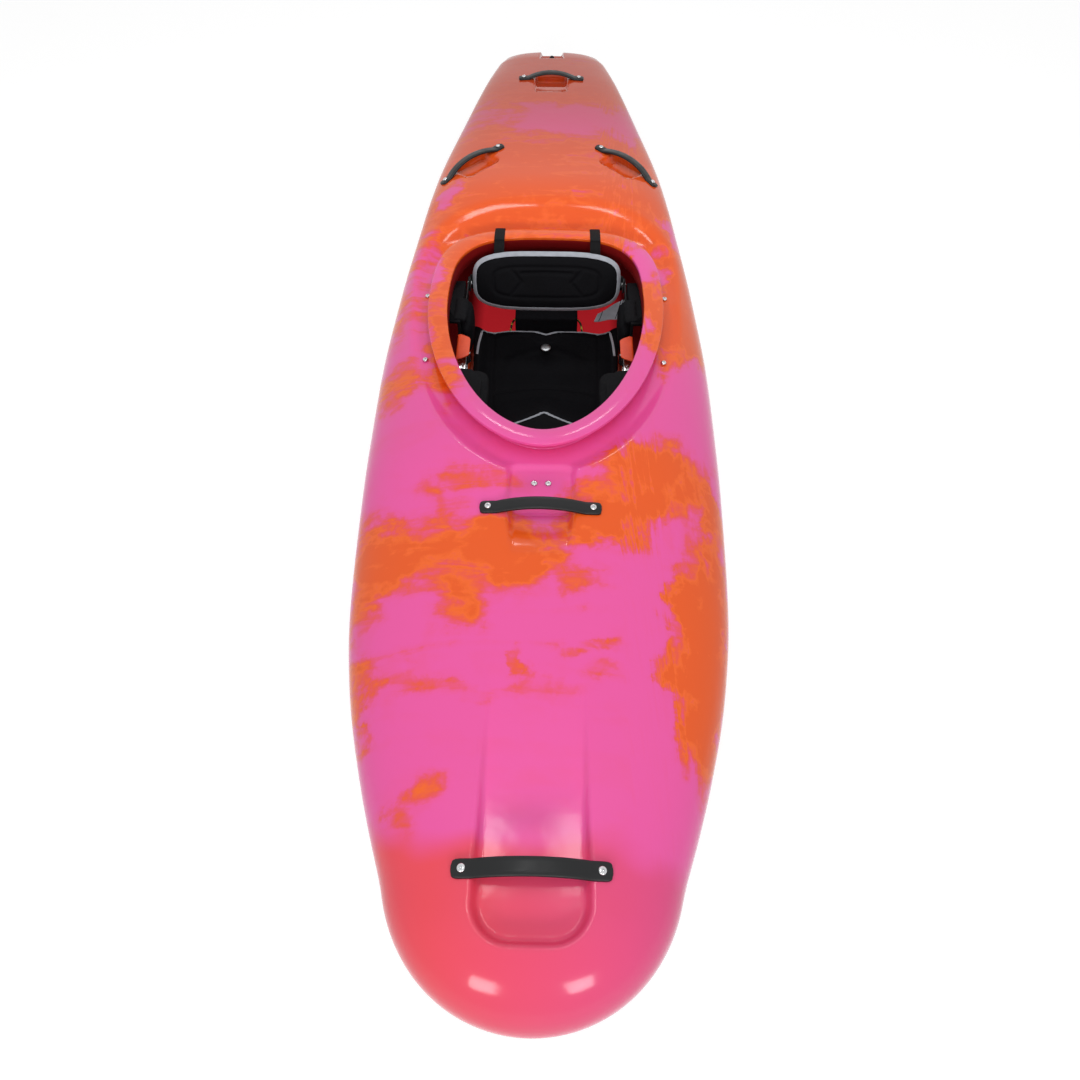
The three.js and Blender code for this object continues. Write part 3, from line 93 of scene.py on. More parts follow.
def add(tree, kind, sockets=None, **settings):
    node = tree.nodes.new("ShaderNode" + kind)
    for name, value in settings.items():
        setattr(node, name, value)
    for name, value in (sockets or {}).items():
        if isinstance(value, bpy.types.NodeSocket):
            tree.links.new(value, node.inputs[name])
        else:
            node.inputs[name].default_value = value
    return node


def new_material(name, colour="#808080", **sockets):
    material = bpy.data.materials.new(name)
    material.use_nodes = True
    material.diffuse_color = linear(colour)
    shader = material.node_tree.nodes["Principled BSDF"]
    for socket, value in {"Base Color": linear(colour), **sockets}.items():
        shader.inputs[socket].default_value = value
    return material, material.node_tree, shader


def place(tree):
    return add(tree, "TexCoord").outputs["Object"]


def axis(tree, spot, name):
    return add(tree, "SeparateXYZ", {0: spot}).outputs[name]


def maths(tree, operation, *values):
    return add(tree, "Math", dict(enumerate(values)), operation=operation).outputs[0]


def vector_maths(tree, operation, *values, output=0):
    return add(tree, "VectorMath", dict(enumerate(values)), operation=operation).outputs[output]


def mapped(tree, value, low, high, to_low=0.0, to_high=1.0, kind="LINEAR"):
    """The value moved from one range to another, and held at its ends."""
    sockets = {"Value": value, "From Min": low, "From Max": high, "To Min": to_low, "To Max": to_high}
    return add(tree, "MapRange", sockets, interpolation_type=kind).outputs["Result"]


def noise(tree, spot, scale, detail, output="Fac", **more):
    return add(tree, "TexNoise", {"Vector": spot, "Scale": scale, "Detail": detail, **more}).outputs[output]


def colour_mix(tree, share, first, second):
    return add(tree, "Mix", {0: share, 6: first, 7: second}, data_type="RGBA").outputs[2]


def two_tones(tree, shader, value, first, second, start=0.0, end=1.0):
    """Gives the shader a colour that goes from the first tone to the second as the value rises."""
    ramp = add(tree, "ValToRGB", {0: value})
    for stop, position, colour in zip(ramp.color_ramp.elements, (start, end), (first, second)):
        stop.position, stop.color = position, linear(colour)
    tree.links.new(ramp.outputs["Color"], shader.inputs["Base Color"])


def bumped(tree, shader, height, strength, distance):
    bump = add(tree, "Bump", {"Height": height, "Strength": strength, "Distance": distance})
    tree.links.new(bump.outputs["Normal"], shader.inputs["Normal"])


def seen_directly(tree):
    """1 where the camera sees the surface, also in a mirror or through glass, and 0 where it only lights."""
    path = add(tree, "LightPath")
    seen = maths(tree, "MAXIMUM", path.outputs["Is Camera Ray"], path.outputs["Is Glossy Ray"])
    return maths(tree, "MAXIMUM", seen, path.outputs["Is Transmission Ray"])


print("orange in linear light", [round(c, 3) for c in linear("#f4763a")])

# %% [markdown]
# ## Light and floor
# Small soft boxes give the short bright highlights that tell a glossy moulded shell from a painted one,
# and a broad ceiling lights the deck evenly. The floor is pale and lifted to white where it is looked at,
# and keeps the boat's soft shadow.

# %% Floor
FLOOR_REACH, FLOOR_HEIGHT, FLOOR_GLOW = 30, -0.0005, 0.68
corners = [(x * FLOOR_REACH, y * FLOOR_REACH, FLOOR_HEIGHT) for x, y in ((-1, -1), (1, -1), (1, 1), (-1, 1))]
mesh = bpy.data.meshes.new("floor")
mesh.from_pydata(corners, [], [(0, 1, 2, 3)])
floor = bpy.data.objects.new("floor", mesh)
bpy.context.collection.objects.link(floor)
# Matt paint: no gloss of its own. The part that the camera sees is lifted towards white.
floor_paint, tree, shader = new_material("matt_white_paint", "#c4c4c4", Roughness=0.9)
glow = maths(tree, "MULTIPLY", seen_directly(tree), FLOOR_GLOW)
tree.links.new(glow, shader.inputs["Emission Strength"])
shader.inputs["Emission Color"].default_value = (1, 1, 1, 1)
floor.data.materials.append(floor_paint)
print("floor", floor.name, "reaches", FLOOR_REACH, "m each way")

# %% Lamps
def soft_box(name, at, towards, size, power):
    lamp = bpy.data.lights.new(name, "AREA")
    lamp.shape = "RECTANGLE"
    lamp.size, lamp.size_y = size
    lamp.energy = power
    box = bpy.data.objects.new(name, lamp)
    bpy.context.collection.objects.link(box)
    box.location = at
    box.rotation_euler = (Vector(towards) - Vector(at)).to_track_quat("-Z", "Y").to_euler()
    return box


REAR_BOX, RIM_BOX, BOW_BOX = (0.09, 0.28), (0.1, 0.22), (1.2, 1.1)
near_boxes = (
    soft_box("rear_right_box", (-0.17, 0.45, 1.05), (-0.13, 0.405, 0.27), REAR_BOX, 1.1),
    soft_box("rear_left_box", (0.21, 0.45, 1.05), (0.16, 0.40, 0.27), REAR_BOX, 1.1),
    soft_box("rim_right_box", (-0.14, -1.05, 1.3), (-0.08, -0.4, 0.35), RIM_BOX, 0.8),
    soft_box("rim_left_box", (0.1, -1.05, 1.3), (0.05, -0.4, 0.35), RIM_BOX, 0.8),
)
# They hang so low over the boat that they would stand in the picture.
for box in near_boxes:
    box.visible_camera = False
soft_box("bow_right_box", (-1.54, -5.68, 2.31), (-0.06, -1.34, 0.31), BOW_BOX, 56)
soft_box("bow_left_box", (1.6, -5.57, 2.48), (0.07, -1.33, 0.31), BOW_BOX, 56)
ceiling = soft_box("ceiling", (0, -1.1, 3.2), (0, -0.8, 0), (3.4, 2.6), 31)
# So broad a lamp would lay a milky rectangle on every flat part of the deck.
ceiling.visible_glossy = False
# The room is white where it is looked at, and dimmer where it only lights.
ROOM_LIGHT, ROOM_SEEN = 0.4, 1.0
world = bpy.data.worlds.new("studio")
world.use_nodes = True
bpy.context.scene.world = world
tree = world.node_tree
brightness = mapped(tree, seen_directly(tree), 0, 1, ROOM_LIGHT, ROOM_SEEN)
background = tree.nodes["Background"]
background.inputs["Color"].default_value = (1, 1, 1, 1)
tree.links.new(brightness, background.inputs["Strength"])
bpy.context.scene.view_settings.view_transform = "Standard"

# %% [markdown]
# ## The colour of the shell
# Powders of two colours are shaken into the mould and melt against its hot wall, so the shell has a swirl:
# broad patches with soft, smeared edges. Painting it would need a picture. Here soft patches are listed,
# in metres, and noise pulls their edges about. A ramp then turns the share of orange into pink,
# coral or orange.

# %% The swirl's patches
# (x, y, half width, half length, share of orange added or taken away)
PATCHES = (
    # foredeck, right of the recess and left of it
    (0.21, -0.50, 0.11, 0.09, 1.0), (0.15, -0.61, 0.07, 0.06, 0.9), (-0.15, -0.68, 0.15, 0.09, 0.8),
    (-0.13, -0.80, 0.06, 0.05, 0.65), (-0.30, -0.70, 0.05, 0.13, 0.75), (-0.03, -0.65, 0.09, 0.07, 0.7),
    (0.09, -0.59, 0.05, 0.07, 0.85), (-0.14, -0.53, 0.09, 0.04, 0.45), (0.07, -0.74, 0.05, 0.03, 0.55),
    (0.08, -0.85, 0.06, 0.015, 0.42), (-0.02, -0.88, 0.015, 0.03, 0.4), (0.10, -0.90, 0.05, 0.02, 0.3),
    (-0.08, -0.93, 0.14, 0.02, 0.32), (-0.23, -0.89, 0.06, 0.05, 0.3), (-0.17, -1.11, 0.03, 0.04, 0.36),
    # along the right gunwale and the left one
    (0.29, -0.80, 0.05, 0.16, 1.05), (0.26, -0.97, 0.035, 0.11, 0.85), (0.22, -0.90, 0.02, 0.13, 0.6),
    (0.33, -0.58, 0.03, 0.14, 0.75), (-0.30, -0.95, 0.03, 0.09, 0.7), (0.245, -0.76, 0.02, 0.10, 0.55),
    # beside the cockpit
    (-0.31, -0.25, 0.05, 0.08, 0.6), (-0.20, -0.19, 0.05, 0.13, 0.85), (0.27, -0.12, 0.05, 0.11, 0.9),
    (0.33, -0.01, 0.05, 0.17, 0.5), (0.30, -0.26, 0.05, 0.10, -0.7),
    # pink in the orange of the rear
    (0.05, 0.86, 0.18, 0.11, -1.15), (0.24, 0.87, 0.05, 0.14, -1.0), (-0.21, 0.92, 0.08, 0.11, -0.55),
    (-0.26, 0.47, 0.04, 0.06, -0.75), (-0.30, 0.14, 0.05, 0.22, -0.62), (-0.25, 0.16, 0.03, 0.08, -0.6),
    (0.23, 0.17, 0.05, 0.11, -1.05), (0.31, 0.34, 0.03, 0.08, -0.9), (0.34, 0.12, 0.03, 0.11, -0.3),
)
# A patch is full up to one share of its size and gone at the other. Both are shares of the size times
# SPREAD.
PATCH_FULL, PATCH_GONE, SPREAD = 0.35, 1.15, 1.25
# How far noise pulls the patches' edges about, and where the orange of the rear begins and is complete.
PULL, REAR_ORANGE = (0.17, 0.15, 0.1), (-0.16, 0.06)


def share_of_orange(tree):
    spot = place(tree)
    drift = noise(tree, spot, 9, 5, "Color", Roughness=0.62)
    pull = vector_maths(tree, "SUBTRACT", drift, (0.5, 0.5, 0.5))
    pull = vector_maths(tree, "MULTIPLY", pull, PULL)
    spot = vector_maths(tree, "ADD", spot, pull)
    # From the middle of the cockpit to the stern the powder was mostly orange.
    total = mapped(tree, axis(tree, spot, "Y"), *REAR_ORANGE, kind="SMOOTHSTEP")
    for x, y, half_width, half_length, share in PATCHES:
        size = (1 / (SPREAD * half_width), 1 / (SPREAD * half_length), 0)
        start = (-x * size[0], -y * size[1], 0)
        near = vector_maths(tree, "MULTIPLY_ADD", spot, size, start)
        far = vector_maths(tree, "LENGTH", near, output="Value")
        total = maths(tree, "ADD", total, mapped(tree, far, PATCH_FULL, PATCH_GONE, share, 0, "SMOOTHSTEP"))
    return total


print("patches", len(PATCHES))

# %% Rotomoulded polyethylene
# Glossy where it lay on the polished mould, with the faint waviness that rotomoulding leaves.
shell_plastic, tree, shader = new_material("rotomoulded_polyethylene", "#ec5b7c", Roughness=0.13, IOR=1.51)
# The mould's grain dulls the mirror a little.
shader.inputs["Specular IOR Level"].default_value = 0.28
spot = place(tree)
orange = share_of_orange(tree)
# Powder that slid along the mould smears: across the boat on the deck, and lengthwise along the right
# gunwale.
aside = axis(tree, spot, "X")
lengthwise = mapped(tree, aside, 0.14, 0.22)
stretch = add(tree, "Mix", {0: lengthwise, 4: (5, 26, 12), 5: (34, 9, 12)}, data_type="VECTOR").outputs[1]
smear = noise(tree, vector_maths(tree, "MULTIPLY", spot, stretch), 1, 5, Roughness=0.5, Distortion=0.8)
blot = noise(tree, spot, 20, 5, Roughness=0.55, Distortion=0.6)
# Clean pink stays clean: the noise works where some orange is.
ragged = mapped(tree, orange, 0.0, 0.4, 0.25, 1)
for value, reach in ((smear, 0.46), (blot, 0.36)):
    frayed = mapped(tree, value, 0.25, 0.75, -reach, reach)
    orange = maths(tree, "MULTIPLY_ADD", frayed, ragged, orange)
ramp = add(tree, "ValToRGB", {0: orange})
stops = (
    (0.0, "#f05aa6"), (0.22, "#f0589a"), (0.42, "#ee5474"),
    (0.6, "#ef5745"), (0.8, "#f86a26"), (1.0, "#ee5c1c"),
)
elements = ramp.color_ramp.elements
for i, (position, colour) in enumerate(stops):
    stop = elements.new(position) if 0 < i < len(stops) - 1 else elements[-(i > 0)]
    stop.color = linear(colour)
along = axis(tree, spot, "Y")
# At the bow the two colours melted into each other: coral on the right side, rose on the left side.
side_of_bow = mapped(tree, aside, -0.14, 0.2)
melted = colour_mix(tree, side_of_bow, linear("#f04a4c"), linear("#e54d86"))
edge = maths(tree, "MULTIPLY_ADD", noise(tree, spot, 5, 2), -0.16, along)
edge = maths(tree, "MULTIPLY_ADD", aside, 0.1, edge)
redder = mapped(tree, edge, -1.225, -1.275, 0, 0.9, "SMOOTHSTEP")
mixed = colour_mix(tree, redder, ramp.outputs["Color"], melted)
# Towards the stern the colour is darkened to a dull red: painted shade, where less light reaches.
stern_painted_shade = mapped(tree, along, 0.1, 1.2, 0, 0.7, "SMOOTHSTEP")
mixed = colour_mix(tree, stern_painted_shade, mixed, linear("#c03a20"))
tree.links.new(mixed, shader.inputs["Base Color"])
bumped(tree, shader, noise(tree, spot, 22, 2), 0.12, 0.004)

# The inside lay against nothing while it cooled: it is matt. A painted glow, strongest low down, stands in
# for the light that comes through the red plastic.
inner_plastic, tree, shader = new_material("polyethylene_inner_face", "#8c1416", Roughness=0.5, IOR=1.51)
shader.inputs["Specular IOR Level"].default_value = 0.2
shader.inputs["Emission Color"].default_value = linear("#e02a34")
spot = place(tree)
painted_glow_low_down = mapped(tree, axis(tree, spot, "Z"), 0.04, 0.16, 0.4, 0.0)
# Beside the seat the hull is double with the seat's wings; the painted glow fades there, as painted shade.
painted_glow_away_from_wings = mapped(tree, maths(tree, "ABSOLUTE", axis(tree, spot, "X")), 0.17, 0.21, 1, 0.04)
tree.links.new(maths(tree, "MULTIPLY", painted_glow_low_down, painted_glow_away_from_wings), shader.inputs["Emission Strength"])
bumped(tree, shader, noise(tree, spot, 90, 3), 0.3, 0.002)
print("shell materials", shell_plastic.name, inner_plastic.name)

# %% [markdown]
# ## The shell
# A hull is lofted: cross-sections stand along the length, and smooth curves say how wide, how deep and how
# high each one is. The deck's trays and the pan round the cockpit are pressed into it. Boolean cuts would
# leave knife edges, which a mould never has. Every deck point's height is therefore the smooth minimum of
# the deck and of each tray, so that all edges come out rounded.

# %% The hull's curves
LENGTH, BEAM, HEIGHT = 2.78, 0.718, 0.345
BEAM_SHARES = (
    (0, 0.545), (0.03, 0.56), (0.06, 0.6), (0.085, 0.672), (0.125, 0.775), (0.173, 0.873), (0.228, 0.94),
    (0.29, 0.972), (0.361, 0.992), (0.443, 1), (0.539, 0.972), (0.623, 0.925), (0.718, 0.852), (0.829, 0.7),
    (0.913, 0.575), (0.958, 0.5), (1, 0.42),
)
KEEL_SHARES = (
    (0, 0.46), (0.04, 0.33), (0.1, 0.19), (0.18, 0.075), (0.26, 0.015), (0.32, 0), (0.68, 0), (0.76, 0.018),
    (0.86, 0.09), (0.94, 0.2), (1, 0.3),
)
GUNWALE_SHARES = ((0, 0.68), (0.1, 0.63), (0.3, 0.59), (0.5, 0.58), (0.7, 0.575), (0.9, 0.56), (1, 0.5))
DECK_SHARES = (
    (0, 0.965), (0.05, 0.99), (0.1, 0.98), (0.2, 0.945), (0.26, 0.935), (0.3, 0.945), (0.345, 0.97),
    (0.4, 0.95), (0.55, 0.86), (0.64, 0.815), (0.672, 0.825), (0.72, 0.795), (0.8, 0.745), (0.9, 0.685),
    (0.96, 0.635), (1, 0.6),
)
FLAT_SHARES = ((0, 0.35), (0.2, 0.5), (0.32, 0.6), (0.68, 0.6), (0.85, 0.5), (1, 0.45))
BOW_TIP, STERN_TIP = 0.68, 0.48
# How far in from each end the section grows to full height and to full width, as shares of the length.
BOW_RISE, BOW_SPREAD, STERN_ROUND = 0.05, 0.06, 0.03
DECK_POWER, CHINE_POWER = 2.5, 2.2
CURVE_STEPS = 2000


def through(pairs, eased=0.009):
    """A monotone cubic through the pairs, then smoothed along the length like a mould maker's batten."""
    places, values = (np.array(column, float) for column in zip(*pairs))
    slopes = np.diff(values) / np.diff(places)
    before, after = np.r_[slopes[0], slopes], np.r_[slopes, slopes[-1]]
    same_way = before * after > 0
    tangents = np.where(same_way, 2 * before * after / np.where(same_way, before + after, 1), 0)
    fine = np.linspace(0, 1, CURVE_STEPS + 1)
    i = np.clip(np.searchsorted(places, fine) - 1, 0, len(slopes) - 1)
    width = places[i + 1] - places[i]
    t = (fine - places[i]) / width
    curve = (
        values[i] * (1 - t) ** 2 * (1 + 2 * t) + tangents[i] * width * t * (1 - t) ** 2
        + values[i + 1] * t * t * (3 - 2 * t) - tangents[i + 1] * width * t * t * (1 - t)
    )
    reach = int(3 * eased * CURVE_STEPS)
    kernel = np.exp(-0.5 * (np.arange(-reach, reach + 1) / (eased * CURVE_STEPS)) ** 2)
    padded = np.pad(curve, reach, mode="reflect", reflect_type="odd")
    soft = np.convolve(padded, kernel / kernel.sum(), "valid")
    return lambda share: np.interp(share, fine, soft)


beam_share, keel_share, gunwale_share, deck_share, flat_share = (
    through(pairs) for pairs in (BEAM_SHARES, KEEL_SHARES, GUNWALE_SHARES, DECK_SHARES, FLAT_SHARES)
)


def place_of(share):
    """Where a share of the length, counted from the bow, lies along the boat."""
    return (share - 0.5) * LENGTH


def opening(share, bow, stern):
    def rounded(t, power):
        return (1 - (1 - np.clip(t, 0, 1)) ** power) ** (1 / power)

    return rounded(share / bow, 2) * rounded((1 - share) / stern, 3)


def section_at(share):
    rise = opening(share, BOW_RISE, STERN_ROUND)
    tip = HEIGHT * np.where(share < 0.5, BOW_TIP, STERN_TIP)
    half = BEAM / 2 * beam_share(share) * opening(share, BOW_SPREAD, STERN_ROUND)
    keel, deck, gunwale = (
        tip + (HEIGHT * of(share) - tip) * rise for of in (keel_share, deck_share, gunwale_share)
    )
    return half, keel, deck, gunwale


def plain_deck(x, y):
    half, _, deck, gunwale = section_at(np.asarray(y) / LENGTH + 0.5)
    across = np.clip(np.abs(x) / half, 0, 1)
    return gunwale + (deck - gunwale) * (1 - across**DECK_POWER) ** (1 / DECK_POWER)


print("deck at the middle", round(float(plain_deck(0, 0)), 4))

# %% The cockpit's curves
WIDEST_Y, HALF_WIDTH, FRONT_REACH, REAR_REACH = 0.0389, 0.219, 0.462, 0.245
FRONT_POWER, REAR_POWER = 1.9, 3.2
RIM_FRONT, RIM_REAR = 0.358, 0.270
RIM_SLOPE = (RIM_REAR - RIM_FRONT) / (FRONT_REACH + REAR_REACH)
RIM_WIDTH = 0.043
# Points are spaced evenly on a line half a rim outside the inner edge, so that they fit all of its offsets.
SPACING_OFFSET = 0.02
NEAREST_OFFSET, FARTHEST_OFFSET, HALVINGS = -0.2, 1.6, 30


def rim_height(y):
    return RIM_FRONT + RIM_SLOPE * (y - WIDEST_Y + FRONT_REACH)


def rim_shape(angle, offset):
    """The coaming's inner edge, moved outwards by the offset, at angles round the cockpit's widest point."""
    side, along = np.cos(angle), np.sin(angle)
    power = np.where(along > 0, REAR_POWER, FRONT_POWER)
    reach = np.where(along > 0, REAR_REACH, FRONT_REACH)
    return np.c_[
        np.sign(side) * np.abs(side) ** (2 / power) * (HALF_WIDTH + offset),
        WIDEST_Y + np.sign(along) * np.abs(along) ** (2 / power) * (reach + offset),
    ]


def rim_points(offset, count):
    """Points spaced evenly round the coaming's inner edge, moved outwards by the offset."""
    angle = np.linspace(0, 2 * np.pi, 4001)
    edge = rim_shape(angle, SPACING_OFFSET)
    walked = np.r_[0, np.cumsum(np.hypot(*np.diff(edge, axis=0).T))]
    return rim_shape(np.interp(np.arange(count) / count * walked[-1], walked, angle), offset)


def rim_offset(x, y):
    """How far outside the coaming's inner edge a point lies, found by halving."""
    forward = y < WIDEST_Y
    power = np.where(forward, FRONT_POWER, REAR_POWER)
    reach = np.where(forward, FRONT_REACH, REAR_REACH)
    low, high = np.full(np.shape(x), NEAREST_OFFSET), np.full(np.shape(x), FARTHEST_OFFSET)
    for _ in range(HALVINGS):
        middle = (low + high) / 2
        far_across = np.abs(x) / (HALF_WIDTH + middle)
        far_along = np.abs(y - WIDEST_Y) / (reach + middle)
        outside = far_across**power + far_along**power > 1
        low, high = np.where(outside, middle, low), np.where(outside, high, middle)
    return (low + high) / 2


print("rim points", len(rim_points(0, 220)))

# %% Trays pressed into the deck
# (centre x, centre y, turn, half width, reach, front floor drop, rear floor drop, corner, draft, softness)
TRAYS = (
    (0, -1.0661, 0, 0.074, 0.219, 0.024, -0.010, 0.046, 0.010, 0.009),
    (0, -0.5365, 0, 0.058, 0.050, 0.011, 0.015, 0.012, 0.012, 0.005),
    (0, -0.6283, 0, 0.052, 0.050, -0.002, 0.026, 0.012, 0.012, 0.006),
    (0, 1.0703, 0, 0.048, 0.030, 0.003, 0.009, 0.010, 0.010, 0.005),
    (0, 1.1217, 0, 0.044, 0.026, 0.016, 0.018, 0.010, 0.010, 0.005),
    (0.1957, 0.61, -math.pi / 4, 0.050, 0.030, 0.017, 0.017, 0.012, 0.010, 0.006),
    (-0.1957, 0.61, math.pi / 4, 0.050, 0.030, 0.017, 0.017, 0.012, 0.010, 0.006),
)
# A tray's draft is how far its wall leans over this height.
DRAFT_HEIGHT = 0.030
# The pan round the coaming: how far it lies below the rim, where its wall starts, and how soft the wall's
# top is at places along the boat.
PAN_DROP, PAN_REACH, PAN_SLOPE, PAN_FOOT = 0.038, 0.076, 60 / 34, 0.026
PAN_SOFTNESS = ((-0.45, -0.2, 0.05, 0.27), (0.034, 0.024, 0.024, 0.075))
DRAIN_Y = place_of(0.981)
NOTCH_HALF_WIDTH, NOTCH_REACH, NOTCH_DEPTH, NOTCH_SLOPE, NOTCH_SOFTNESS = 0.032, 0.030, 0.030, 5, 0.005
DRAIN_FLOOR = float(plain_deck(0, DRAIN_Y)) - NOTCH_DEPTH


def smooth_min(a, b, softness):
    near = np.clip(softness - np.abs(a - b), 0, None) / softness
    return np.minimum(a, b) - near * near * softness / 4


def rising(slope_height, softness):
    """A wall that is flat at its foot, then rises."""
    return -smooth_min(0 * slope_height, -slope_height, softness)


def press(z, x, y):
    """The deck's height z with the pan, the trays and the drain's notch pressed into it."""
    pan_floor = rim_height(y) - PAN_DROP
    wall = rising((rim_offset(x, y) - PAN_REACH) * PAN_SLOPE, PAN_FOOT)
    z = smooth_min(z, pan_floor + wall, np.interp(y, *PAN_SOFTNESS))
    for cx, cy, turn, half_width, reach, front_drop, rear_drop, corner, draft, softness in TRAYS:
        cos, sin = math.cos(turn), math.sin(turn)
        across, along = (x - cx) * cos + (y - cy) * sin, -(x - cx) * sin + (y - cy) * cos
        out_x, out_y = np.abs(across) - half_width + corner, np.abs(along) - reach + corner
        outside = np.hypot(np.clip(out_x, 0, None), np.clip(out_y, 0, None))
        outside = outside + np.minimum(np.maximum(out_x, out_y), 0)
        wall = rising((outside - corner) * DRAFT_HEIGHT / draft, softness)
        if turn:
            front = rear = float(plain_deck(cx, cy))
        else:
            front, rear = float(plain_deck(0, cy - reach)), float(plain_deck(0, cy + reach))
        front, rear = front - front_drop, rear - rear_drop
        floor_height = front + (rear - front) * (along + reach) / (2 * reach)
        z = smooth_min(z, floor_height + wall, softness)
    out = np.maximum(np.abs(x) - NOTCH_HALF_WIDTH, DRAIN_Y - NOTCH_REACH - y)
    return smooth_min(z, DRAIN_FLOOR + rising(out * NOTCH_SLOPE, NOTCH_SOFTNESS), NOTCH_SOFTNESS)


print("drain floor", round(DRAIN_FLOOR, 4))

# %% Stations and columns
# The mesh is close where the deck has features: (share of the length, millimetres between stations up to
# it).
SPACING = ((0.2, 5.5), (0.25, 10), (0.336, 5), (0.64, 5), (0.7, 9), (0.755, 5), (0.86, 9), (0.97, 5))
BOW_CAP, STERN_CAP, BOW_RINGS, STERN_RINGS = 0.06, 0.03, 56, 26
BOTTOM_POINTS, CHINE_POINTS, DECK_POINTS = 6, 17, 80


def stations():
    """Shares of the length: close together where the deck has features, and closing up towards the tips."""
    bow = BOW_CAP * (1 - np.cos(np.linspace(0, np.pi / 2, BOW_RINGS)))[1:]
    stern = 1 - STERN_CAP * (1 - (1 - np.linspace(1, 0, STERN_RINGS) ** 3) ** (1 / 3))[:-1]
    middle = [bow[-1]]
    for end, step in SPACING:
        count = max(round((end - middle[-1]) * LENGTH * 1000 / step), 1)
        middle += list(np.linspace(middle[-1], end, count + 1)[1:])
    return np.r_[bow, middle[1:-1], stern]


def half_ring(share):
    half, keel, deck, gunwale = (float(v) for v in section_at(np.array(share)))
    flat = float(flat_share(share))
    bottom = [(half * flat * i / BOTTOM_POINTS, keel) for i in range(BOTTOM_POINTS)]
    turn = np.linspace(0, np.pi / 2, CHINE_POINTS)
    chine_x = half * (flat + (1 - flat) * np.sin(turn) ** (2 / CHINE_POWER))
    chine_z = gunwale - (gunwale - keel) * np.cos(turn) ** (2 / CHINE_POWER)
    t = np.linspace(0, np.pi / 2, 400)
    x, z = half * np.cos(t) ** (2 / DECK_POWER), gunwale + (deck - gunwale) * np.sin(t) ** (2 / DECK_POWER)
    walked = np.r_[0, np.cumsum(np.hypot(np.diff(x), np.diff(z)))]
    even = np.linspace(0, walked[-1], DECK_POINTS + 1)[1:]
    upper = np.c_[np.interp(even, walked, x), np.interp(even, walked, z)]
    return np.r_[bottom, np.c_[chine_x, chine_z], upper]


shares = stations()
rings = []
for share in shares:
    half = half_ring(share)
    ring = np.r_[half, half[-2:0:-1] * (-1, 1)]
    rings.append(np.c_[ring[:, 0], np.full(len(ring), place_of(share)), ring[:, 1]])
rings = np.array(rings)
on_deck = slice(BOTTOM_POINTS + CHINE_POINTS, rings.shape[1] + 1 - BOTTOM_POINTS - CHINE_POINTS)
deck_part = rings[:, on_deck]
deck_part[..., 2] = press(deck_part[..., 2], deck_part[..., 0], deck_part[..., 1])
print("stations", len(shares), "ring", rings.shape[1])

# %% The shell's mesh
def mesh_object(name, points, faces):
    mesh = bpy.data.meshes.new(name)
    mesh.from_pydata([tuple(p) for p in points], [], [tuple(f) for f in faces])
    mesh.polygons.foreach_set("use_smooth", np.ones(len(mesh.polygons), bool))
    return object_of(name, mesh)


def object_of(name, mesh):
    made = bpy.data.objects.new(name, mesh)
    bpy.context.collection.objects.link(made)
    return made


def grid_faces(rows, count, closed_rows=False, flip=False):
    """Quads between rings of points. Each ring is closed on itself."""
    faces = []
    for i in range(rows if closed_rows else rows - 1):
        below, above = i * count, (i + 1) % rows * count
        for j in range(count):
            k = (j + 1) % count
            face = (below + j, below + k, above + k, above + j)
            faces.append(face[::-1] if flip else face)
    return faces


def applied(made):
    """The object's mesh with its modifiers worked into it."""
    bpy.context.view_layer.update()
    mesh = bpy.data.meshes.new_from_object(made.evaluated_get(bpy.context.evaluated_depsgraph_get()))
    made.modifiers.clear()
    old, made.data = made.data, mesh
    mesh.name = made.name
    bpy.data.meshes.remove(old)
    return made


def joined(name, *parts):
    """One object from several closed bodies, with their materials kept."""
    whole = bmesh.new()
    slots = []
    for part in parts:
        start = len(whole.faces)
        whole.from_mesh(part.data)
        whole.faces.ensure_lookup_table()
        own = list(part.data.materials)
        for face in whole.faces[start:]:
            material = own[face.material_index] if own else None
            if material not in slots:
                slots.append(material)
            face.material_index = slots.index(material)
        bpy.data.objects.remove(part)
    mesh = bpy.data.meshes.new(name)
    whole.to_mesh(mesh)
    whole.free()
    for material in slots:
        mesh.materials.append(material)
    return object_of(name, mesh)


@contextmanager
def opened(mesh):
    """The mesh as a bmesh to work on, written back at the end."""
    work = bmesh.new()
    work.from_mesh(mesh)
    yield work
    work.to_mesh(mesh)
    work.free()


def turned_outwards(mesh):
    with opened(mesh) as work:
        bmesh.ops.recalc_face_normals(work, faces=work.faces)


SHELL_WALL = 0.005
# The cockpit's hole in the deck: faces nearer to the coaming's inner edge than this are left out, in a
# region round the cockpit and above the seat.
HOLE_EDGE, HOLE_HALF_WIDTH, HOLE_FRONT, HOLE_REAR, HOLE_LOWEST = 0.004, 0.24, -0.45, 0.3, 0.18
tips = np.array(((0, -LENGTH / 2, HEIGHT * BOW_TIP), (0, LENGTH / 2, HEIGHT * STERN_TIP)))
count = rings.shape[1]
points = np.r_[rings.reshape(-1, 3), tips]
faces = grid_faces(len(rings), count, flip=True)
last = (len(rings) - 1) * count
faces += [(len(points) - 2, j, (j + 1) % count) for j in range(count)]
faces += [(len(points) - 1, last + (j + 1) % count, last + j) for j in range(count)]
x, y, z = points.T
near_rim = (np.abs(x) < HOLE_HALF_WIDTH) & (y > HOLE_FRONT) & (y < HOLE_REAR) & (z > HOLE_LOWEST)
inside = np.zeros(len(points), bool)
inside[near_rim] = rim_offset(x[near_rim], y[near_rim]) < HOLE_EDGE
faces = [face for face in faces if not inside[list(face)].any()]
used = np.unique(np.concatenate([np.array(face) for face in faces]))
number = np.full(len(points), -1)
number[used] = np.arange(len(used))
deck_and_bottom = mesh_object("deck_and_bottom", points[used], [[number[i] for i in face] for face in faces])
deck_and_bottom.data.materials.append(shell_plastic)
deck_and_bottom.data.materials.append(inner_plastic)
wall = deck_and_bottom.modifiers.new("wall", "SOLIDIFY")
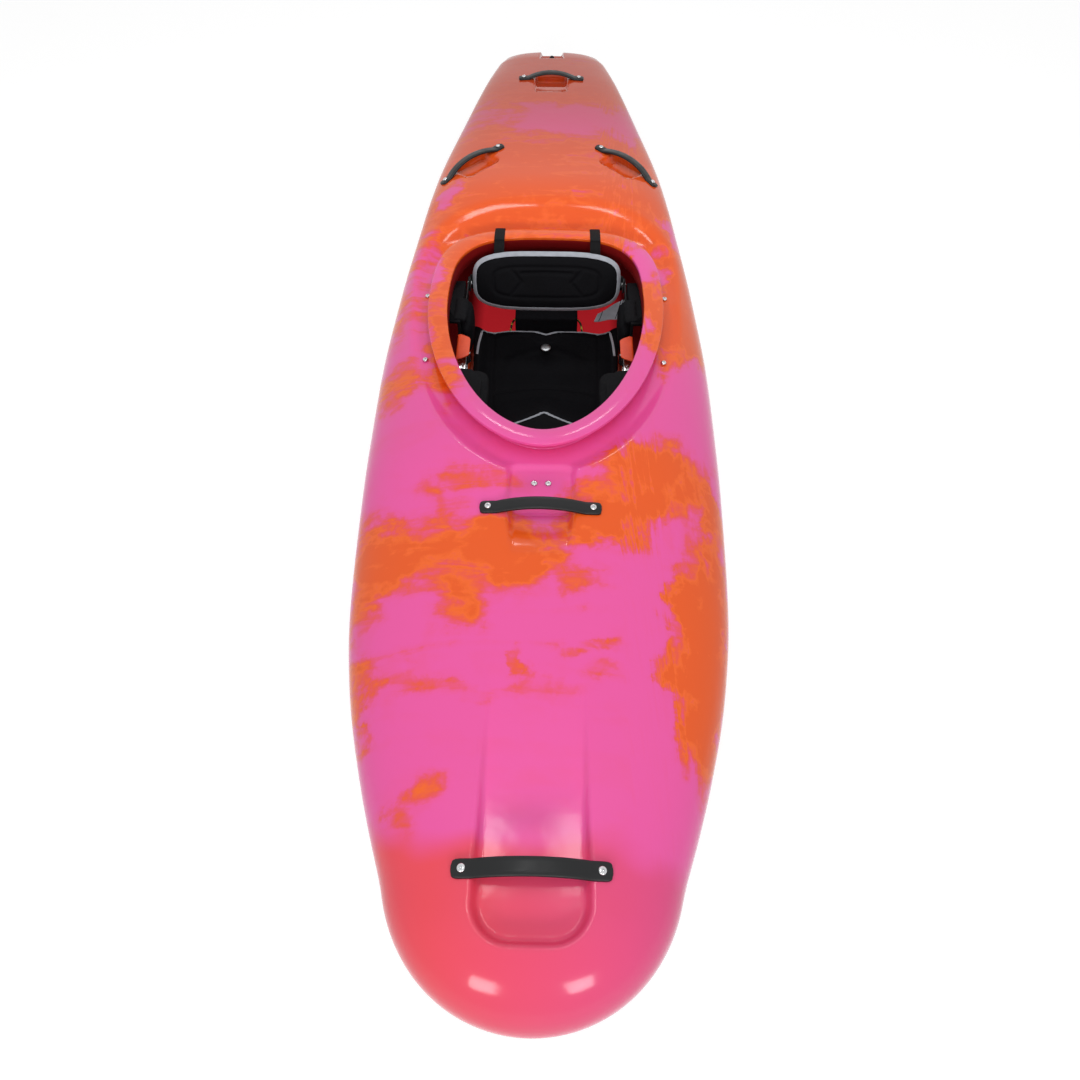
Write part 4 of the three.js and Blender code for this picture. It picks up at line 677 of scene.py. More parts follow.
wall.thickness, wall.offset, wall.use_rim, wall.material_offset = SHELL_WALL, -1, True, 1
applied(deck_and_bottom)
print("shell faces", len(deck_and_bottom.data.polygons))

# %% [markdown]
# The coaming is the hollow lip that a spraydeck's bungee grips. It is part of the same moulding. Its
# section is drawn once, rounded as plastic is, and lofted round the cockpit.

# %% Coaming
def unit(vector):
    return vector / np.linalg.norm(vector)


def rounded_path(corners, radii, steps=4):
    """A closed outline with each corner rounded by a short arc."""
    corners = [np.array(c, float) for c in corners]
    points = []
    for i, corner in enumerate(corners):
        before, after = corners[i - 1] - corner, corners[(i + 1) % len(corners)] - corner
        radius = min(radii[i], np.linalg.norm(before) / 2.05, np.linalg.norm(after) / 2.05)
        if radius == 0:
            points.append(corner)
            continue
        start, end = corner + unit(before) * radius, corner + unit(after) * radius
        for t in np.linspace(0, 1, steps + 1):
            points.append(start * (1 - t) ** 2 + corner * 2 * t * (1 - t) + end * t * t)
    return np.array(points)


COAMING_POINTS = 240
# Millimetres outwards from the inner edge and up from the rim's plane, with the radius of each corner: the
# inner face, the crowned top, the lip's edge and underside, and the riser down to the pan.
SECTION = (
    (0, -44, 0), (0, -24, 0), (0, -8, 0), (0, -1, 4),
    (7, 0.6, 3), (14, 1.4, 3), (21, 1.6, 3), (28, 1.4, 3), (36, 0.4, 3), (43, -1.2, 4),
    (43, -5, 0), (43, -9, 3), (38, -9, 0), (16, -9, 0), (12, -9, 3),
    (12, -13, 0), (12, -30, 0), (12, -37.6, 4), (19, -38.8, 0), (19, -41, 0), (8, -44, 0),
)
section = rounded_path([corner[:2] for corner in SECTION], [corner[2] for corner in SECTION]) / 1000
coaming_rings = []
for offset, height in section:
    ring = rim_points(offset, COAMING_POINTS)
    coaming_rings.append(np.c_[ring, rim_height(ring[:, 1]) + height])
faces = grid_faces(len(section), COAMING_POINTS, closed_rows=True)
coaming = mesh_object("coaming", np.concatenate(coaming_rings), faces)
coaming.data.materials.append(shell_plastic)
coaming.data.materials.append(inner_plastic)
# The inside of the lip looks into the boat, so it has the colour of the inner face.
for polygon in coaming.data.polygons[:COAMING_POINTS * 2]:
    polygon.material_index = 1
hull = joined("moulded_shell", deck_and_bottom, coaming)
turned_outwards(hull.data)
for polygon in hull.data.polygons:
    polygon.use_smooth = True
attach(hull, "hull")
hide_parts("hull_shell")
print("hull faces", len(hull.data.polygons))

# %% [markdown]
# ## Finishes of the fittings
# Each finish starts from what the real thing is made of. The detail sits at its real scale where the
# picture can show it, and is drawn coarser where it can't.

# %% Moulded nylon and stainless steel
# Glass-filled nylon comes out of the mould almost black, with a fine texture that scatters its gloss.
nylon, tree, shader = new_material("moulded_nylon", "#0d0e10", Roughness=0.4, IOR=1.53)
shader.inputs["Specular IOR Level"].default_value = 0.32
bumped(tree, shader, noise(tree, place(tree), 900, 2), 0.25, 0.0006)
rubbed = mapped(tree, noise(tree, place(tree), 45, 4), 0.3, 0.7, 0.33, 0.5)
tree.links.new(rubbed, shader.inputs["Roughness"])

# Turned and pressed stainless steel keeps fine tool marks round it.
steel, tree, shader = new_material("stainless_steel", "#c9cacc", Roughness=0.24, Metallic=1.0)
bumped(tree, shader, noise(tree, place(tree), 700, 3, Roughness=0.7), 0.2, 0.0004)

# Anodised aluminium rail: drawn, so its scratches run along it.
drawn_aluminium, tree, shader = new_material("anodised_aluminium", "#a9abae", Roughness=0.36, Metallic=1.0)
drawn_out = vector_maths(tree, "MULTIPLY", place(tree), (1500, 12, 1500))
bumped(tree, shader, noise(tree, drawn_out, 1, 2), 0.25, 0.0004)
print("metals", steel.name, drawn_aluminium.name)

# %% Seat plastic and foam
# The seat is injection moulded in bright polyethylene, with a light matt grain so that the pads don't slip.
seat_finish = {"Roughness": 0.42, "IOR": 1.51}
seat_plastic, tree, shader = new_material("injection_moulded_polyethylene", "#ea4a1c", **seat_finish)
bumped(tree, shader, noise(tree, place(tree), 420, 2), 0.3, 0.0008)
scuff = noise(tree, place(tree), 26, 5, Roughness=0.7)
two_tones(tree, shader, scuff, "#d83c12", "#ef5524", 0.35, 0.7)

# Closed-cell foam is cut from block: its cells, about 1 mm, are drawn at 2 mm so that they show.
cut_foam, tree, shader = new_material("closed_cell_foam", "#0f0f12", Roughness=0.88, IOR=1.45)
shader.inputs["Specular IOR Level"].default_value = 0.15
cells = add(tree, "TexVoronoi", {"Vector": place(tree), "Scale": 480}).outputs["Distance"]
bumped(tree, shader, cells, 0.5, 0.0012)
two_tones(tree, shader, cells, "#0b0b0d", "#1b1b20")
print("seat and pillars", seat_plastic.name, cut_foam.name)

# %% Neoprene, binding and webbing
# Pads are foam under nylon-faced neoprene: black, matt, with a knit of about 1 mm that is drawn at 1.5 mm.
neoprene, tree, shader = new_material("nylon_faced_neoprene", "#060609", Roughness=0.75, IOR=1.45)
shader.inputs["Specular IOR Level"].default_value = 0.12
knit = add(tree, "TexVoronoi", {"Vector": place(tree), "Scale": 650}).outputs["Distance"]
folds = noise(tree, place(tree), 18, 3, Roughness=0.5)
bumped(tree, shader, maths(tree, "MULTIPLY_ADD", folds, 3.0, knit), 0.35, 0.0012)
two_tones(tree, shader, folds, "#040406", "#0c0c10")

# Grey binding tape and panels: a flat woven nylon with a rib of about 1 mm.
binding, tree, shader = new_material("woven_nylon_tape", "#8d929b", Roughness=0.7, IOR=1.5)
bumped(tree, shader, noise(tree, place(tree), 1100, 1), 0.5, 0.0008)
two_tones(tree, shader, noise(tree, place(tree), 60, 4), "#8b8f98", "#b6bac2")

# Polyester webbing, woven in ribs across its length.
webbing, tree, shader = new_material("polyester_webbing", "#0b0b0d", Roughness=0.7, IOR=1.5)
shader.inputs["Specular IOR Level"].default_value = 0.15
turned = vector_maths(tree, "MULTIPLY", place(tree), (1, 1.6, 1.6))
ribs = add(tree, "TexWave", {"Vector": turned, "Scale": 105, "Distortion": 0.4}, bands_direction="DIAGONAL")
bumped(tree, shader, ribs.outputs["Fac"], 0.6, 0.0009)

# Elastic cord in a braided sheath: olive, with light tracers that cross it.
elastic_cord, tree, shader = new_material("braided_elastic_cord", "#2a2d1c", Roughness=0.65, IOR=1.5)
sockets = {"Vector": place(tree), "Scale": 26, "Distortion": 2.5, "Detail Scale": 8.0}
tracer = add(tree, "TexWave", sockets, bands_direction="DIAGONAL").outputs["Fac"]
two_tones(tree, shader, tracer, "#23261a", "#d9c64e", 0.5, 0.75)
print("finishes", len(bpy.data.materials))

# %% Helpers for fittings
# Points nearer than this are one; faces that bend by less are one; edges that bend by more are rounded.
SAME_PLACE, FLAT_ANGLE, SHARP_ANGLE = 0.00005, math.radians(1), math.radians(40)


def settled(made, material, body, finish, *nodes, sharp=35):
    """Turns the faces outwards, shades them, and says what the piece rides on and replaces."""
    mesh = made.data
    turned_outwards(mesh)
    mesh.shade_smooth()
    mesh.set_sharp_from_angle(angle=math.radians(sharp))
    mesh.materials.clear()
    mesh.materials.append(material)
    if body:
        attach(made, body)
    if nodes:
        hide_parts(*nodes)
    return made


def lofted(name, rings):
    """A closed body through rings of points, with both ends filled."""
    count = len(rings[0])
    last = (len(rings) - 1) * count
    faces = grid_faces(len(rings), count) + [tuple(range(count))[::-1], tuple(range(last, last + count))]
    return mesh_object(name, np.concatenate(rings), faces)


def square_to(vector, way):
    """The unit vector nearest to the vector that is square to the way."""
    return unit(vector - np.dot(vector, way) * way)


def frame_of(normal, across):
    """Three unit axes: across, along and normal."""
    normal = unit(np.array(normal, float))
    across = square_to(np.array(across, float), normal)
    return np.array([across, np.cross(normal, across), normal])


def node_points(name):
    co = np.array([v.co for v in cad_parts[name].data.vertices], float)
    return np.unique(co.round(7), axis=0)


def softened(name, node, width):
    """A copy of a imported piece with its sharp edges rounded, as a mould or a tumbler leaves them."""
    work = bmesh.new()
    work.from_mesh(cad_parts[node].data)
    bmesh.ops.remove_doubles(work, verts=work.verts, dist=SAME_PLACE)
    bmesh.ops.dissolve_limit(work, angle_limit=FLAT_ANGLE, verts=work.verts, edges=work.edges)
    two_sided = [e for e in work.edges if len(e.link_faces) == 2]
    bmesh.ops.bevel(
        work, geom=[e for e in two_sided if e.calc_face_angle(0) > SHARP_ANGLE], offset=width,
        offset_type="OFFSET", segments=2, profile=0.5, affect="EDGES", clamp_overlap=True,
    )
    return from_bmesh(name, work)


def from_bmesh(name, work):
    """An object with the worked mesh, whose large faces are cut into triangles."""
    bmesh.ops.triangulate(work, faces=[f for f in work.faces if len(f.verts) > 4])
    mesh = bpy.data.meshes.new(name)
    work.to_mesh(mesh)
    work.free()
    return object_of(name, mesh)


print("drain socket points", len(node_points("drain_socket")))

# %% [markdown]
# ## Bolts
# Every bolt is a button head with a hexagon socket. Its ring of points is a circle, or a hexagon where a
# key or a spanner goes, so one loft makes the head, the shank and the nut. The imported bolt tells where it
# stands: its lowest point is the tip of the shank, and the middle of all its points lies on its axis.

# %% Bolts
# (radius, height above the tip, hexagon) for the nut end and (radius, height below the top, hexagon) for
# the head, all in millimetres.
NUT_END = (
    (1.5, 0, 0), (2.8, 1.4, 0), (3, 3, 0), (4.8, 3.1, 1),
    (5.6, 3.8, 1), (5.6, 7.4, 1), (4.8, 8, 1), (3, 8.1, 0),
)
HEAD_END = (
    (3, 3.3, 0), (6, 3.2, 0), (6.2, 2.6, 0), (5.8, 1.4, 0), (4.8, 0.4, 0), (3.6, 0, 0), (2.2, -0.1, 1),
    (1.9, 0.3, 1), (1.8, 2, 1), (0.6, 2.3, 0),
)


def bolt_ring(radius, hexagon, sides=24):
    turn = np.arange(sides) / sides * 2 * np.pi
    if hexagon:
        flats = np.cos((turn + math.pi / 6) % (math.pi / 3) - math.pi / 6)
        radius = radius * math.cos(math.pi / 6) / flats
    return np.c_[radius * np.cos(turn), radius * np.sin(turn)]


def bolt_axis(node):
    co = node_points(node)
    low = co[co[:, 2].argmin()]
    up = unit(co.mean(0) - low)
    return low, up, ((co - low) @ up).max()


def dressed_bolt(name, node):
    low, up, length = bolt_axis(node)
    across, along, _ = frame_of(up, (1, 0, 0))
    rings = [(radius / 1000, height / 1000, hexagon) for radius, height, hexagon in NUT_END]
    rings += [(radius / 1000, length - depth / 1000, hexagon) for radius, depth, hexagon in HEAD_END]
    shaped = []
    for radius, height, hexagon in rings:
        flat = bolt_ring(radius, hexagon)
        shaped.append(low + flat[:, :1] * across + flat[:, 1:] * along + up * height)
    return settled(lofted(name, shaped), steel, "hull", "steel", node, sharp=50)


bolt_nodes = [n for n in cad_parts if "_bolt" in n or n.startswith("foredeck_screw")]
for node in bolt_nodes:
    dressed_bolt("dressed_" + node, node)
print("bolts", len(bolt_nodes))

# %% [markdown]
# ## Grab handles
# A handle is a strap of tough nylon, moulded with a raised middle and rounded ends, held down by a bolt at
# each end. It is a sweep: one bevelled section carried along a curve that rises between the two bolts.

# %% Grab handles
HANDLE_PAD, HANDLE_ARCH, HANDLE_LIFT, ARCH_RINGS = 0.015, 0.018, 0.00035, 29
# The bolt's head and the strap's thickness lie between the bolt's top and the deck.
BOLT_ABOVE_DECK = 0.0099
STRAP_SECTION = rounded_path(
    [(-13, 0), (13, 0), (13, 3.6), (11, 5.2), (7, 6), (-7, 6), (-11, 5.2), (-13, 3.6)],
    [0.8, 0.8, 1.2, 1.6, 2, 2, 1.6, 1.2], steps=3,
) / 1000
# Distances from the strap's end to the rings that round it off, and how narrow the very end is.
END_RINGS, END_REACH, END_SHARE = (0.0, 0.0012, 0.003, 0.006, 0.011, 0.02), 0.012, 0.38


def grab_handle(node):
    ends = []
    for i in (1, 2):
        low, up, length = bolt_axis(f"{node}_bolt_{i}")
        ends.append((low + up * (length - BOLT_ABOVE_DECK), up))
    (first, first_up), (second, second_up) = ends
    across = unit(second - first)
    first_way, second_way = square_to(across, first_up), square_to(across, second_up)
    a, d = first + first_way * HANDLE_PAD, second - second_way * HANDLE_PAD
    reach = np.linalg.norm(d - a) / 3
    b = a + first_way * reach + first_up * HANDLE_ARCH
    c = d - second_way * reach + second_up * HANDLE_ARCH
    rings = []

    def ring(point, up, tangent, share=1):
        wide, high = STRAP_SECTION[:, :1] * share, STRAP_SECTION[:, 1:] + HANDLE_LIFT
        rings.append(point + wide * unit(np.cross(up, tangent)) + high * up)

    def rounded_end(point, up, way, outwards, distances):
        for s in distances:
            share = (1 - (1 - min(s / END_REACH, 1)) ** 3) ** (1 / 3) * (1 - END_SHARE) + END_SHARE
            ring(point + outwards * (HANDLE_PAD - s), up, way, share)

    rounded_end(first, first_up, first_way, -first_way, END_RINGS)
    for t in np.linspace(0, 1, ARCH_RINGS):
        point = a * (1 - t) ** 3 + 3 * b * t * (1 - t) ** 2 + 3 * c * t * t * (1 - t) + d * t**3
        tangent = unit((b - a) * (1 - t) ** 2 + 2 * (c - b) * t * (1 - t) + (d - c) * t * t)
        ring(point, square_to(first_up * (1 - t) + second_up * t, tangent), tangent)
    rounded_end(second, second_up, second_way, second_way, END_RINGS[::-1])
    return settled(lofted("strap_" + node, rings), nylon, "hull", "strap", node, sharp=60)


handle_nodes = ("bow_handle", "foredeck_handle", "stern_handle", "side_handle_left", "side_handle_right")
handles = [grab_handle(node) for node in handle_nodes]
print("handles", [round(h.dimensions.length, 3) for h in handles])

# %% [markdown]
# ## The drain
# A threaded socket sits in a notch at the stern, and its plug has a fin to turn it by. Both are turned
# shapes.

# %% Drain socket and plug
TURNED_SIDES = 48
# The socket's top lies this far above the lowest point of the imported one.
SOCKET_RISE = 0.01435
# (radius, height) in millimetres.
SOCKET_PROFILE = (
    (13, -14.3), (17, -14.3), (17, 0.35), (18.4, 0.5), (19, 1.1), (19, 2.6), (18.4, 3.2), (13.4, 3.3),
    (13, 2.9), (13, -13),
)
HEAD_PROFILE = (
    (0.5, -14), (11.4, -14), (12, -13.4), (12, 3.7), (15.4, 3.75), (16, 4.3), (16, 7.8), (15.2, 8.7),
    (8, 9.2), (0.5, 9.2),
)
# (half width, half thickness, height) in millimetres, from the head up.
FIN_SECTIONS = (
    (14.6, 3, 8.4), (14.4, 3, 9.6), (9.6, 2.9, 15), (4.8, 2.6, 21.8), (3.4, 1.8, 23.4), (2, 0.8, 23.7),
)


def turned_body(profile, centre):
    """Rings of a turned body. The first and last radius stay above zero."""
    turn = np.arange(TURNED_SIDES) / TURNED_SIDES * 2 * np.pi
    rings = [np.c_[r * np.cos(turn), r * np.sin(turn), np.full(TURNED_SIDES, h)] for r, h in profile]
    return [ring / 1000 + centre for ring in rings]


drain_centre = np.array([0, DRAIN_Y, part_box("drain_socket")[0].z + SOCKET_RISE])
rings = turned_body(SOCKET_PROFILE, drain_centre)
faces = grid_faces(len(rings), TURNED_SIDES, closed_rows=True)
drain_seat = mesh_object("drain_seat", np.concatenate(rings), faces)
settled(drain_seat, nylon, "hull", "plug", "drain_socket")
plug_head = lofted("plug_head", turned_body(HEAD_PROFILE, drain_centre))
fin_rings = []
for half_wide, half_thick, height in FIN_SECTIONS:
    signs = ((-1, -1), (1, -1), (1, 1), (-1, 1))
    outline = rounded_path([(x * half_wide, y * half_thick) for x, y in signs], [0.9] * 4, 3)
    fin_rings.append(np.c_[outline, np.full(len(outline), height)] / 1000 + drain_centre)
drain_cap = joined("drain_cap", plug_head, lofted("plug_fin", fin_rings))
settled(drain_cap, nylon, "drain_plug", "plug", "drain_plug")
print("drain cap", [round(v, 4) for v in drain_cap.dimensions])

# %% [markdown]
# ## Hard parts of the outfitting
# The seat pan, braces, ratchets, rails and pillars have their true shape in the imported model, but with
# knife edges. A copy with rounded edges replaces each: light caught along an edge makes a moulding look
# real.

# %% Moulded and pressed parts
SIDES = ((1, "left"), (-1, "right"))
# (node, material, body, slot, width of the rounded edge); a star stands for left and right.
RIGID = (
    ("seat_pan", seat_plastic, "hull", "seat", 0.0012), ("thigh_brace_*", neoprene, "hull", "strap", 0.0014),
    ("backrest_shell", nylon, "backrest", "strap", 0.0008),
    ("footrest_plate", nylon, "footrest", "strap", 0.0015),
    ("footrest_rail_*", drawn_aluminium, "hull", "rail", 0.0006),
    ("ratchet_frame_*", steel, "hull", "steel", 0.0004),
    ("ratchet_lever_*", steel, "ratchet_lever_*", "steel", 0.0007),
    ("ratchet_release_*", steel, "ratchet_release_*", "steel", 0.0005),
    ("rail_screw_*", steel, "hull", "steel", 0.0004), ("strap_rivet_*", steel, "backrest", "steel", 0.0003),
    ("bow_pillar", cut_foam, "hull", "foam", 0.003), ("stern_pillar", cut_foam, "hull", "foam", 0.003),
    ("pillar_block", cut_foam, "hull", "foam", 0.004),
)
SLEEVE_INNER, SLEEVE_OUTER, SLEEVE_TOP, SLEEVE_FRONT, SLEEVE_REAR = 0.185, 0.225, 0.175, -0.041, 0.15
SLEEVE_CLOTH, SLEEVE_THIN, RIVET_FRONT = 0.0012, 0.0002, 0.115
# The pillars' tops stay this far under the deck's outer face.
PILLAR_CLEAR, PILLAR_MIDDLE = 0.009, 0.15


def both_sides(rows):
    """Each row with a star in its name becomes two: one for the left and one for the right."""
    out = []
    for row in rows:
        for _, side in SIDES if "*" in row[0] else SIDES[:1]:
            out.append([part.replace("*", side) if isinstance(part, str) else part for part in row])
    return out


def hanger_sleeve(pan, side, name):
    """A neoprene sleeve over the strap of plastic that the seat hangs from: a stretch of the pan, grown."""
    work = bmesh.new()
    work.from_mesh(pan.data)
    cuts = (
        ((side * SLEEVE_INNER, 0, 0), (side, 0, 0)), ((0, SLEEVE_FRONT, 0), (0, 1, 0)),
        ((0, SLEEVE_REAR, 0), (0, -1, 0)), ((0, 0, SLEEVE_TOP), (0, 0, 1)),
        ((side * SLEEVE_OUTER, 0, 0), (-side, 0, 0)),
    )
    for point, kept_way in cuts:
        bmesh.ops.bisect_plane(
            work, geom=work.verts[:] + work.edges[:] + work.faces[:], dist=1e-6, plane_co=point,
            plane_no=kept_way, clear_inner=True,
        )
        bmesh.ops.holes_fill(work, edges=[e for e in work.edges if e.is_boundary], sides=0)
    bmesh.ops.triangulate(work, faces=[f for f in work.faces if len(f.verts) > 4])
    work.normal_update()
    for vertex in work.verts:
        # The strap's rivet slides close by the sleeve's rear, where the cloth lies flat.
        vertex.co += vertex.normal * (SLEEVE_CLOTH if vertex.co.y < RIVET_FRONT else SLEEVE_THIN)
    return from_bmesh(f"hanger_sleeve_{name}", work)


rigid = both_sides(RIGID)
for node, material, body, finish, width in rigid:
    made = softened("soft_edged_" + node, node, width)
    if node.endswith("_pillar"):
        # A pillar stands under the deck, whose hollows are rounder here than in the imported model.
        for vertex in made.data.vertices:
            x, y, z = vertex.co
            if z > PILLAR_MIDDLE:
                vertex.co.z = min(z, float(press(plain_deck(x, y), x, y)) - PILLAR_CLEAR)
    if node == "seat_pan":
        sleeves = [hanger_sleeve(made, side, name) for side, name in SIDES]
    settled(made, material, body, finish, node)
for sleeve in sleeves:
    settled(sleeve, neoprene, "hull", "pad", sharp=50)
print("soft-edged pieces", len(rigid))

# %% Folded tops of the wings
# Between the hip pad and the ratchet the top of a wing folds in over the strap. It keeps the strap off the
# leg.
WING_TOP, WING_INNER, WING_WALL = 0.2385, 0.1935, 0.004
FOLD_FRONT, FOLD_REAR, FOLD_CORNER, FOLD_CUT = -0.118, -0.040, 0.016, 0.75
wing_outer = WING_INNER + WING_WALL
# Places from the wing's inner face and from its top, with the radius of each corner, in millimetres.
FOLD = ((4, -12, 0), (4, 4, 5), (-26, 6.5, 1.4), (-26, 3.5, 1.4), (0, 0.5, 2.5), (0, -12, 0))
fold = rounded_path(
    [(WING_INNER + across / 1000, WING_TOP + up / 1000) for across, up, _ in FOLD],
    [radius / 1000 for _, _, radius in FOLD], 5,
)
for side, name in SIDES:
    rings = []
    for y in np.linspace(FOLD_FRONT, FOLD_REAR, 27):
        # The fold's corners are cut round, so that they can't catch.
        end = min(y - FOLD_FRONT, FOLD_REAR - y) / FOLD_CORNER
        reach = 1 - FOLD_CUT * (1 - min(end, 1)) ** 2
        x = wing_outer - (wing_outer - fold[:, 0]) * reach
        rings.append(np.c_[side * x, np.full(len(x), y), fold[:, 1]])
    settled(lofted(f"wing_fold_{name}", rings), seat_plastic, "hull", "seat", sharp=50)
print("fold points", len(fold))

# %% [markdown]
# ## Padding
# A pad is foam or stuffing in a stretched cover: its sides belly out between the seams and no edge is
# sharp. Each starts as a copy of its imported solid, is remeshed into small even quads and blown up a little
# as cloth. The swelling is capped, so that a pad never grows into what it touches.

# %% Pads blown up as cloth
# (node, body, voxel, start smaller by, rounds of smoothing, cap on the swelling, how full)
PADS = both_sides((
    ("seat_pad", "hull", 0.005, 0.0022, 5, 0.003, 0.6), ("leg_lifter", "hull", 0.005, 0.002, 6, 0.003, 0.7),
    ("backrest_pad", "backrest", 0.0045, 0.0015, 3, 0.002, 0.7),
    ("hip_pad_*", "hull", 0.003, 0.001, 16, 0.002, 0.8), ("thigh_pad_*", "hull", 0.004, 0.001, 5, 0.002, 0.8),
    ("footrest_pad", "footrest", 0.006, 0.0006, 2, 0.001, 0.9),
))
CLOTH_FRAMES, CLOTH_MASS, STUFFING_PRESSURE = 20, 0.3, 4
# A worn hip pad keeps this share of its packed thickness; its outer face lies near HIP_PAD_BACK.
HIP_PAD_BACK, HIP_PAD_WORN = 0.19, 0.62


def plumped(name, node, voxel, shrink, smoothing):
    """An even, rounded copy of a packed pad, a little smaller than the pad itself."""
    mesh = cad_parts[node].data.copy()
    made = object_of(name, mesh)
    with opened(mesh) as work:
        bmesh.ops.remove_doubles(work, verts=work.verts, dist=SAME_PLACE)
    even = made.modifiers.new("even", "REMESH")
    even.mode, even.voxel_size, even.adaptivity = "VOXEL", voxel, 0
    applied(made)
    every_way = {"use_axis_x": True, "use_axis_y": True, "use_axis_z": True}
    with opened(made.data) as work:
        for _ in range(smoothing):
            bmesh.ops.smooth_vert(work, verts=work.verts, factor=0.5, **every_way)
        work.normal_update()
        for vertex in work.verts:
            vertex.co -= vertex.normal * shrink
    return made


def points_of(made):
    co = np.zeros(len(made.data.vertices) * 3)
    made.data.vertices.foreach_get("co", co)
    return co.reshape(-1, 3)


def move_points(made, co):
    made.data.vertices.foreach_set("co", co.astype(np.float32).ravel())


cushions = {}
for node, body, voxel, shrink, smoothing, cap, full in PADS:
    cushions[node] = plumped("padded_" + node, node, voxel, shrink, smoothing)
    if node.startswith("hip_pad"):
        for vertex in cushions[node].data.vertices:
            x = vertex.co.x
            if abs(x) < HIP_PAD_BACK:
                vertex.co.x = math.copysign(HIP_PAD_BACK - HIP_PAD_WORN * (HIP_PAD_BACK - abs(x)), x)
starts = {}
for node, made in cushions.items():
    starts[node] = points_of(made)
    cloth = made.modifiers.new("stuffing", "CLOTH")
    cloth.settings.quality, cloth.settings.mass = 4, CLOTH_MASS
    cloth.settings.use_pressure, cloth.settings.uniform_pressure_force = True, STUFFING_PRESSURE
    cloth.settings.effector_weights.gravity = 0
    cloth.collision_settings.use_collision = False
    cloth.point_cache.frame_start, cloth.point_cache.frame_end = 1, CLOTH_FRAMES
for step in range(1, CLOTH_FRAMES + 1):
    bpy.context.scene.frame_set(step)
for node, _, _, _, _, cap, _ in PADS:
    made = cushions[node]
    swollen = made.evaluated_get(bpy.context.evaluated_depsgraph_get()).data
    moved = np.array([v.co for v in swollen.vertices]) - starts[node]
    far = np.linalg.norm(moved, axis=1, keepdims=True)
    made.modifiers.clear()
    move_points(made, starts[node] + moved * np.minimum(1, cap / np.maximum(far, 1e-9)))
    print(node, "swelled", round(float(far.mean()) * 1000, 1), "mm before the cap")
bpy.context.scene.frame_set(1)
for made in cushions.values():
    finer = made.modifiers.new("finer", "SUBSURF")
    finer.levels = finer.render_levels = 1
    applied(made)
print("pad faces", {node: len(made.data.polygons) for node, made in cushions.items()})

# %% [markdown]
# Seams are pulled down into a cushion by their thread. Once the pad has its final shape, every point near a
# seam's line is moved in, by less the further it lies from the line.

# %% Sewn lines
def near_line(points, line):
    """How far each point lies from a polyline, in the plane that both are given in."""
    line = np.array(line, float)
    best = np.full(len(points), 9.0)
    for start, end in zip(line[:-1], line[1:]):
        step = end - start
        t = np.clip((points - start) @ step / max(step @ step, 1e-12), 0, 1)
        best = np.minimum(best, np.linalg.norm(points - start - t[:, None] * step, axis=1))
    return best


def press_seams(made, to_plane, inward, lines, depth, width, facing):
    """Moves points that face the viewer in along a direction where they are near any line."""
    co = points_of(made)
    flat = to_plane(co)
    sunk = np.zeros(len(co))
    for line in lines:
        sunk = np.maximum(sunk, np.exp(-((near_line(flat, line) / width) ** 2)))
    move_points(made, co + np.array(inward) * (depth * sunk * facing(co))[:, None])


# The backrest leans back by this angle, and turns on a hinge a little below its middle.
LEAN, HINGE_TO_MIDDLE = 0.443, 0.007
REST_NORMAL = np.array((0, -math.cos(LEAN), math.sin(LEAN)))
REST_UP = np.array((0, math.sin(LEAN), math.cos(LEAN)))
REST_HINGE = np.array((0, 0.1779, 0.214))
REST_CENTRE = REST_HINGE + HINGE_TO_MIDDLE * REST_UP
ACROSS = np.array((1, 0, 0))
# The cushions' faces: how far ahead of its middle the backrest's starts, and where the seat's top starts
# and is complete. A seam's depth, and the distance over which it fades.
REST_FACE, SEAT_FACE, SEAT_FACE_FULL = 0.004, 0.02, 0.025
REST_SEAM, SEAT_SEAM = (0.0028, 0.0042), (0.0032, 0.006)


def on_rest(co):
    return np.c_[co[:, 0], (co - REST_CENTRE) @ REST_UP]


def rest_front(co):
    return ((co - REST_CENTRE) @ REST_NORMAL > REST_FACE).astype(float)


def seat_top(co):
    return np.clip((co[:, 2] - SEAT_FACE) / (SEAT_FACE_FULL - SEAT_FACE), 0, 1)


def oblong(half_wide, half_high, power, count=64):
    turn = np.linspace(0, 2 * np.pi, count + 1)
    side, up = np.cos(turn), np.sin(turn)
    x = half_wide * np.sign(side) * np.abs(side) ** (2 / power)
    return np.c_[x, half_high * np.sign(up) * np.abs(up) ** (2 / power)]


# An oblong with a long seam under its top, and an arrow at each side that points inwards.
rest_lines = [oblong(0.128, 0.036, 4), [(-0.06, 0.022), (0.0, 0.024), (0.06, 0.022)]]
rest_lines += [[(side * 0.085, -0.03), (side * 0.06, 0.0), (side * 0.085, 0.03)] for side in (-1, 1)]
press_seams(cushions["backrest_pad"], on_rest, -REST_NORMAL, rest_lines, *REST_SEAM, rest_front)
# Two curved seams across the seat, and one along each side.
seat_lines = [
    [(x, 0.104 - 1.6 * x * x) for x in np.linspace(-0.1, 0.1, 21)],
    [(x, 0.004 - 1.3 * x * x) for x in np.linspace(-0.12, 0.12, 21)],
]
seat_side = ((0.132, 0.15), (0.136, 0.05), (0.13, -0.06), (0.105, -0.16))
seat_lines += [[(side * x, y) for x, y in seat_side] for side in (-1, 1)]
press_seams(cushions["seat_pad"], lambda co: co[:, :2], (0, 0, -1), seat_lines, *SEAT_SEAM, seat_top)
